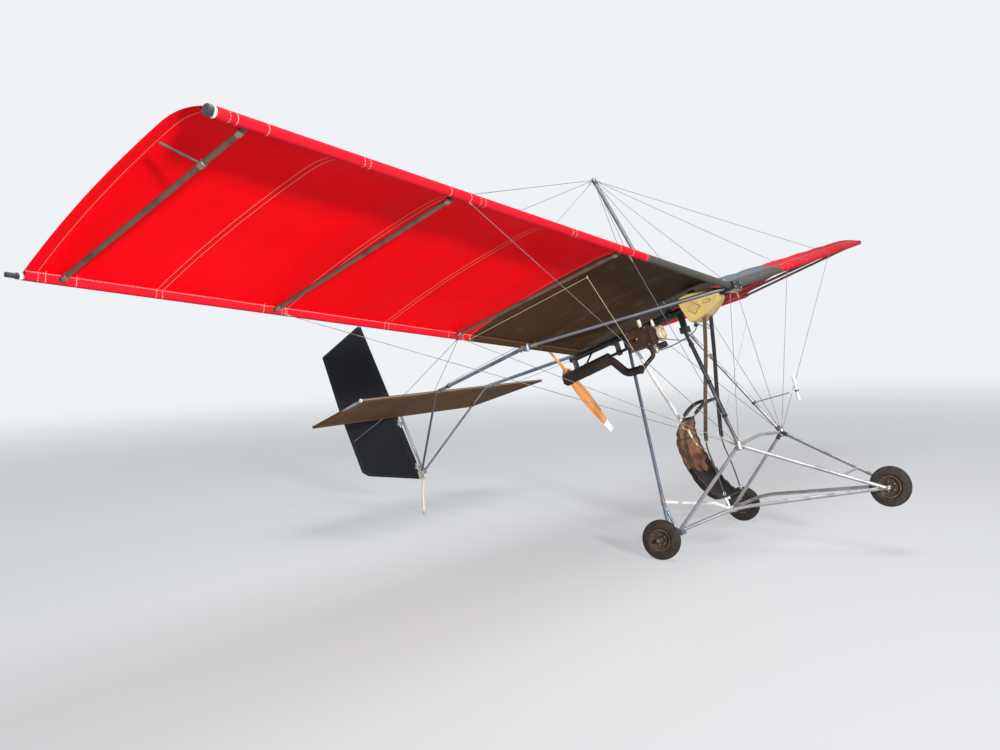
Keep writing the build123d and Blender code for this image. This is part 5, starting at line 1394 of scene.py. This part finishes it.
for sign in (-1, 1):
    # foot corner: sleeves and bolts on the tubes that meet there, and a cap above and below
    foot, outwards = mirrored(FOOT_CORNER, sign), (sign, 0, 0)
    meeting = (
        (mirrored(FRONT_TOP, sign), TUBE), (np.array((0.560 * sign, -0.025, 0.010)), TUBE),
        (np.array((0.094 * sign, *NOSE_AXLE[1:])), TUBE), (np.array((0.0, -0.656, 0.540)), BAR_TUBE),
    )
    for end, wall in meeting:
        way = unit(end - foot)
        if sign > 0:
            clips.append(band(foot + way * 0.040, way, wall, 0.052, 0.0035))
        else:
            plates.append(band(foot + way * 0.034, way, wall, 0.020, 0.0020))
        plates += bolt(foot + way * 0.046 + (0, 0, wall + 0.002), (0, 0, 1), 0.0042, 2 * wall + 0.004)
    for way in (-1, 1):
        clips.append(turned(KNUCKLE_CAP, foot + (0, 0, 0.030 * way), (0, 0, way), 24))

    # rear legs, axle blocks and the ends of the axles
    axle_place = np.array((AXLE_BLOCK_X * sign, -0.014, 0.0))
    for x in (-0.028, 0.028):
        for y in (0.022, -0.026):
            plates += bolt(axle_place + (x, y, 0.025), (0, 0, 1), 0.0055, 0.050)
    leg_foot, leg_top = mirrored(REAR_FOOT, sign), mirrored(REAR_TOP, sign)
    leg = leg_foot - leg_top
    black_or_bright = clips if sign > 0 else plates
    black_or_bright.append(band(leg_foot - unit(leg) * 0.060, leg, TUBE, 0.060, 0.0030))
    plates += bolt(leg_top + unit(leg) * 0.050 + (sign * (TUBE + 0.001), 0, 0), outwards, 0.0050, 2 * TUBE)
    plates.append(band(mirrored(CROSS_JOINT, sign), leg, TUBE, 0.040, 0.0035))
    axle_end = np.array((sign * (TRACK_HALF + 0.0545), 0, 0))
    plates += screw(axle_end, outwards, 0.0110)
    plates.append(turned(AXLE_THREAD, axle_end, outwards, 16))
    plates += screw((sign * 0.118, *NOSE_AXLE[1:]), outwards, 0.0105)
    for x, joint in ((0.094, FOOT_CORNER), (0.064, LOWER_BEND)):
        centre = np.array((sign * x, *NOSE_AXLE[1:]))
        toward = mirrored(joint, sign) - centre
        plates.append(band(centre + unit(toward) * 0.055, toward, TUBE, 0.016, 0.0025))

    # rear corner, where root tube, boom and trailing edge meet
    corner, boom_end = edge_places(CORNER_X, sign)[1], mirrored(STAB_BOOM, sign)
    to_tip = mirrored(TE_TIP, sign) - corner
    to_nose = np.array((0.062 * sign, NOSE[1] + 0.020, NOSE[2])) - corner
    to_tail = boom_end - corner
    for toward, sleeve_at, length in ((to_tip, 0.060, 0.060), (to_nose, 0.065, 0.055), (to_tail, 0.065, 0.055)):
        plates.append(band(corner + unit(toward) * sleeve_at, toward, BIG_TUBE, length, 0.0030))
        at = corner + unit(toward) * 0.075 + (0, 0, BIG_TUBE + 0.002)
        plates += bolt(at, (0, 0, 1), 0.0050, 2 * BIG_TUBE + 0.004)
    for way in (1, -1):
        plates.append(turned(CORNER_DISC, corner + (0, 0, 0.031 * way), (0, 0, way), 28))
        plates += screw(corner + (0, 0, 0.034 * way), (0, 0, way), 0.0085)

    # strut ends, the outer strut's knuckle, and the tips of both edge tubes
    for station in STRUTS.values():
        front, rear = edge_places(station, sign)
        way = unit(rear - front)
        for end, inwards, sleeve_at in ((front, way, 0.072), (rear, -way, 0.060)):
            at = end + inwards * sleeve_at
            plates.append(band(at, way, TUBE, 0.034, 0.0026))
            plates += bolt(at + (0, 0, -TUBE - 0.002), (0, 0, -1), 0.0045, 2 * TUBE + 0.004)
    knuckle_run = edge_places(STRUTS["outer"], sign)
    plates.append(band(between(*knuckle_run, 0.22), np.subtract(*knuckle_run), TUBE, 0.040, 0.0040))
    front_tip, rear_tip = mirrored(LE_TIP, sign), mirrored(TE_TIP, sign)
    tip_way = unit(np.subtract(LE_TIP, NOSE)) * (sign, 1, 1)
    clips.append(turned(TIP_PLUG, front_tip, tip_way, 36))
    plugs.append(band(front_tip - tip_way * 0.021, tip_way, 0.0255, 0.014, 0.0012))
    tail_way = unit(np.subtract(TE_TIP, TE_ROOT)) * (sign, 1, 1)
    plugs.append(band(rear_tip - tail_way * 0.072, tail_way, 0.016, 0.016, 0.0016))
    clips.append(band(rear_tip - tail_way * 0.056, tail_way, 0.013, 0.012, 0.0035))

    # stabilizer's caps, boom end and tail strut
    for place, caps in ((STAB_FRONT, plugs), (STAB_REAR, clips)):
        caps.append(turned(TUBE_CAP, mirrored(place, sign) + (0.012 * sign, 0, 0), outwards, 24))
    plates += bolt(boom_end + (0, 0.004, 0.015), (0, 0, 1), 0.0055, 0.030)
    plates.append(band(boom_end - unit(to_tail) * 0.050, to_tail, BIG_TUBE, 0.020, 0.0025))
    strut_end = between(boom_end, mirrored(TAIL_SOCKET, sign), 0.955)
    plates += bolt(strut_end + (sign * 0.011, 0, 0), outwards, 0.0042, 0.022)

    # nose block: bolts ahead, and a plate with bolts above and below
    for x in (-0.060, 0.060):
        plates += screw((x, NOSE[1] - 0.0455, NOSE[2] + 0.018 * sign), (0, -1, 0), 0.0065)
    plate_ends = [(x, NOSE[1], NOSE[2] + 0.0335 * sign) for x in (-0.083, 0.083)]
    plates.append(bar(*plate_ends, 0.082, 0.003, (0, 1, 0)))
    for x in (-0.062, 0.0, 0.062):
        plates += screw((x, NOSE[1] + 0.020, NOSE[2] + 0.0355 * sign), (0, 0, sign), 0.0062)

king_way = np.subtract(KINGPOST_TOP, KINGPOST_FOOT)
clips.append(band(between(KINGPOST_FOOT, KINGPOST_TOP, 0.985), king_way, TUBE, 0.045, 0.0050))
clips.append(turned(KINGPOST_CAP, KINGPOST_TOP, king_way, 24))
plates.append(band(between(KINGPOST_FOOT, KINGPOST_TOP, 0.045), king_way, TUBE, 0.030, 0.0030))
for y in (0.060, -0.250):
    plates += bolt((0.026, y, keel_height(y)), (1, 0, 0), 0.0060, 0.052)
brass = tube_finish("plated_fitting", (0.36, 0.31, 0.22), (0.20, 0.17, 0.12), 0.34)
fitted("black_clips", "airframe", "steel", clips, [black_plastic])
fitted("joint_plates", "airframe", "steel", plates, [brass])
fitted("end_plugs", "airframe", "white_plastic", plugs, [cream])


# Tail post: a plate with two screws at its foot, a cream hose drawn over the skid rod round its knee,
# and a dark rod across the rudder, clamped at both ends.
POST_PLATE = ((-0.0305, 2.7095, 1.110), (-0.0305, 2.7095, 1.032))
SKID_POST, SKID_KNEE, SKID_GROUND = (0.026, 2.6992, 1.098), (0.026, 2.792, 0.925), (0.026, 2.8505, 0.7123)
KNEE_ROUND, HOSE_ABOVE, HOSE_CLEAR, HOSE_RADIUS = 0.029, 0.165, 0.022, 0.0108
RUDDER_ROD, ROD_RADIUS = ((-0.0225, 3.444, 1.604), (-0.0225, 2.992, 1.718)), 0.0080

post_plate = [bar(*POST_PLATE, 0.068, 0.003, (0, 1, 0))]
for z in (1.050, 1.092):
    post_plate += screw((-0.0318, POST_PLATE[0][1], z), (-1, 0, 0), 0.0052)
fitted("post_plate", "airframe", "steel", post_plate, [zinc])

knee, ground = np.array(SKID_KNEE), np.array(SKID_GROUND)
from_post, to_ground = unit(knee - SKID_POST), unit(ground - knee)
share = np.linspace(0, 1, 9)[:, None]
bend = (knee - KNEE_ROUND * from_post) * (1 - share) ** 2 + knee * 2 * share * (1 - share)
bend = bend + (knee + KNEE_ROUND * to_ground) * share ** 2
hose = np.concatenate(([knee - HOSE_ABOVE * from_post], bend, [ground - HOSE_CLEAR * to_ground]))
angle = np.linspace(0, 2 * np.pi, 20, endpoint=False)
sleeve = swept(hose, HOSE_RADIUS * np.stack((np.cos(angle), np.sin(angle)), -1))
fitted("skid_sleeve", "airframe", "white_plastic", [sleeve], [cream])

rod_way = unit(np.subtract(RUDDER_ROD[1], RUDDER_ROD[0]))
rod_shapes = [rod(*RUDDER_ROD, ROD_RADIUS, ends=0.002)]
rod_shapes += [band(between(*RUDDER_ROD, share), rod_way, ROD_RADIUS, 0.018, 0.0025) for share in (0.06, 0.94)]
fitted("rudder_rod", "rudder", "bare_tube", rod_shapes, [dark_tube])


# Wire ends and light lines: each stay ends in a pressed sleeve and a thimble. Cream lines run taut from
# the inner strut to the seat and the trailing edge, from a front stay to its tube, and along a boom.
STAY_INBOARD, TAIL_STAYS = 0.030, (0.430, 0.860)
LINE_RADIUS, STRUT_RING = 0.0022, (-1.590, -0.435, 1.882)
TOGGLE = (
    (-0.197, -0.141, 0.761), (-0.197, -0.177, 0.733), (-0.196, -0.190, 0.662), (-0.191, -0.208, 0.597),
    (-0.180, -0.262, 0.545),
)
PRESSED_SLEEVE = ((0.020, 0), (0.021, 0.0038), (0.024, 0.0046), (0.044, 0.0046), (0.047, 0.0038), (0.048, 0))
KNOT = ((-0.004, 0), (-0.003, 0.0045), (0.002, 0.0058), (0.008, 0.0050), (0.012, 0.0030), (0.016, 0.0))

stays = []
for sign in (-1, 1):
    foot = mirrored(FOOT_CORNER, sign)
    for place in ("inner", "middle"):
        for end in edge_places(STRUTS[place] - STAY_INBOARD, sign):
            stays += [(foot, end, 0.030, 0.040), (np.array(KINGPOST_TOP), end, 0.030, 0.040)]
    wing_end = edge_places(STRUTS["inner"] - 2 * STAY_INBOARD, sign)[1]
    for x in TAIL_STAYS:
        stays.append((wing_end, np.array((sign * x, *STAB_FRONT[1:])), 0.028, 0.024))
    stays.append((foot, np.array((sign * 0.060, *NOSE[1:])), 0.030, 0.050))
stays.append((np.array(KINGPOST_TOP), np.array(NOSE), 0.030, 0.050))
ends = []
for first, last, first_gap, last_gap in stays:
    for start, end, gap in ((first, last, first_gap), (last, first, last_gap)):
        way = unit(end - start)
        side = unit(np.cross(way, (0.2, 0.1, 0.9)))
        ends.append(hoop(start + way * (gap + 0.010), side, way, 0.0065, 0.0120, 0.0020, 0.8))
        ends.append(turned([(along + gap, out) for along, out in PRESSED_SLEEVE], start, way, 10))
copper = tube_finish("pressed_sleeve", (0.42, 0.33, 0.25), (0.24, 0.18, 0.13), 0.36)
fitted("wire_ends", "airframe", "steel", ends, [copper])

cord_cream = web_finish("line_cream", (0.46, 0.38, 0.20), (0.62, 0.55, 0.36))
near_foot, near_top = mirrored(FOOT_CORNER, -1), mirrored(FRONT_TOP, -1)
near_tube = between(near_top, near_foot, 0.735) + (0, -0.018, 0)
far_stay = between((0.060, *NOSE[1:]), FOOT_CORNER, 0.24)
trailing_end = edge_places(1.500, -1)[1] + (0, -0.020, -0.014)
boom_ends = (boom_run[0] + (0, 0.045, 0.030), between(*boom_run, 0.84) + (0.0, 0.0, 0.024))
straight = np.linspace(0, 1, 30)
lines = [between(STRUT_RING, TOGGLE[0], straight), smooth(TOGGLE), between(STRUT_RING, trailing_end, straight)]
lines += [between(far_stay, near_tube, straight), between(*boom_ends, straight)]
line_shapes = []
for line in lines:
    line_shapes.append(swept(line, circle[::2] * LINE_RADIUS))
    for at, way in ((line[0], line[-1] - line[0]), (line[-1], line[0] - line[-1])):
        line_shapes.append(turned(KNOT, at, way, 12))
line_shapes.append(marked(rod(TOGGLE[1], TOGGLE[2], 0.0085, 20, 0.003), 2))
line_shapes.append(marked(rod(between(TOGGLE[2], TOGGLE[3], 0.8), TOGGLE[3], 0.0065, 16, 0.002), 2))
line_shapes.append(marked(hoop(STRUT_RING, (1, 0, 0), (0, 0, 1), 0.010, 0.012, 0.0020, 0.9), 1))
fitted("taut_lines", "airframe", "webbing", line_shapes, [cord_cream, buckle_steel, cream])


# Throttle cable, fuel pipe and vent pipe: black. The cable is clipped along the keel and down the
# starboard front tube, and the vent pipe is looped under the tank.
CABLE_RADIUS, FUEL_PIPE_RADIUS, VENT_PIPE_RADIUS = 0.0034, 0.0042, 0.0035

cable_top = between(near_top, near_foot, 0.10) + (-0.004, -0.019, 0)
cable_foot = between(near_top, near_foot, 0.76) + (-0.004, -0.020, 0)
cable = smooth([
    throat + (0, 0, 0.058), throat + (-0.002, -0.010, 0.074), (-0.074, -0.150, 1.500), (-0.052, -0.250, 1.452),
    cable_top,
])
cable = np.concatenate((cable[:-1], between(cable_top, cable_foot, straight)))
fuel_pipe = smooth([
    np.add(TAP, (0, 0, -0.010)), np.add(TAP, (0.004, 0.020, -0.040)), (-0.062, -0.340, 1.440),
    (-0.066, -0.200, 1.418), throat + (0.010, -0.020, -0.040), throat + (0.016, 0.0, -0.026),
])
vent_pipe = smooth([
    (-0.045, -0.470, 1.520), (-0.038, -0.500, 1.478), (-0.020, -0.540, 1.452), (0.010, -0.535, 1.470),
    (0.022, -0.490, 1.528),
])
runs = ((cable, CABLE_RADIUS), (fuel_pipe, FUEL_PIPE_RADIUS), (vent_pipe, VENT_PIPE_RADIUS))
pipes = [swept(run, circle[::2] * radius) for run, radius in runs]
fitted("cable_and_pipes", "airframe", "black_steel", pipes, [black_rubber])
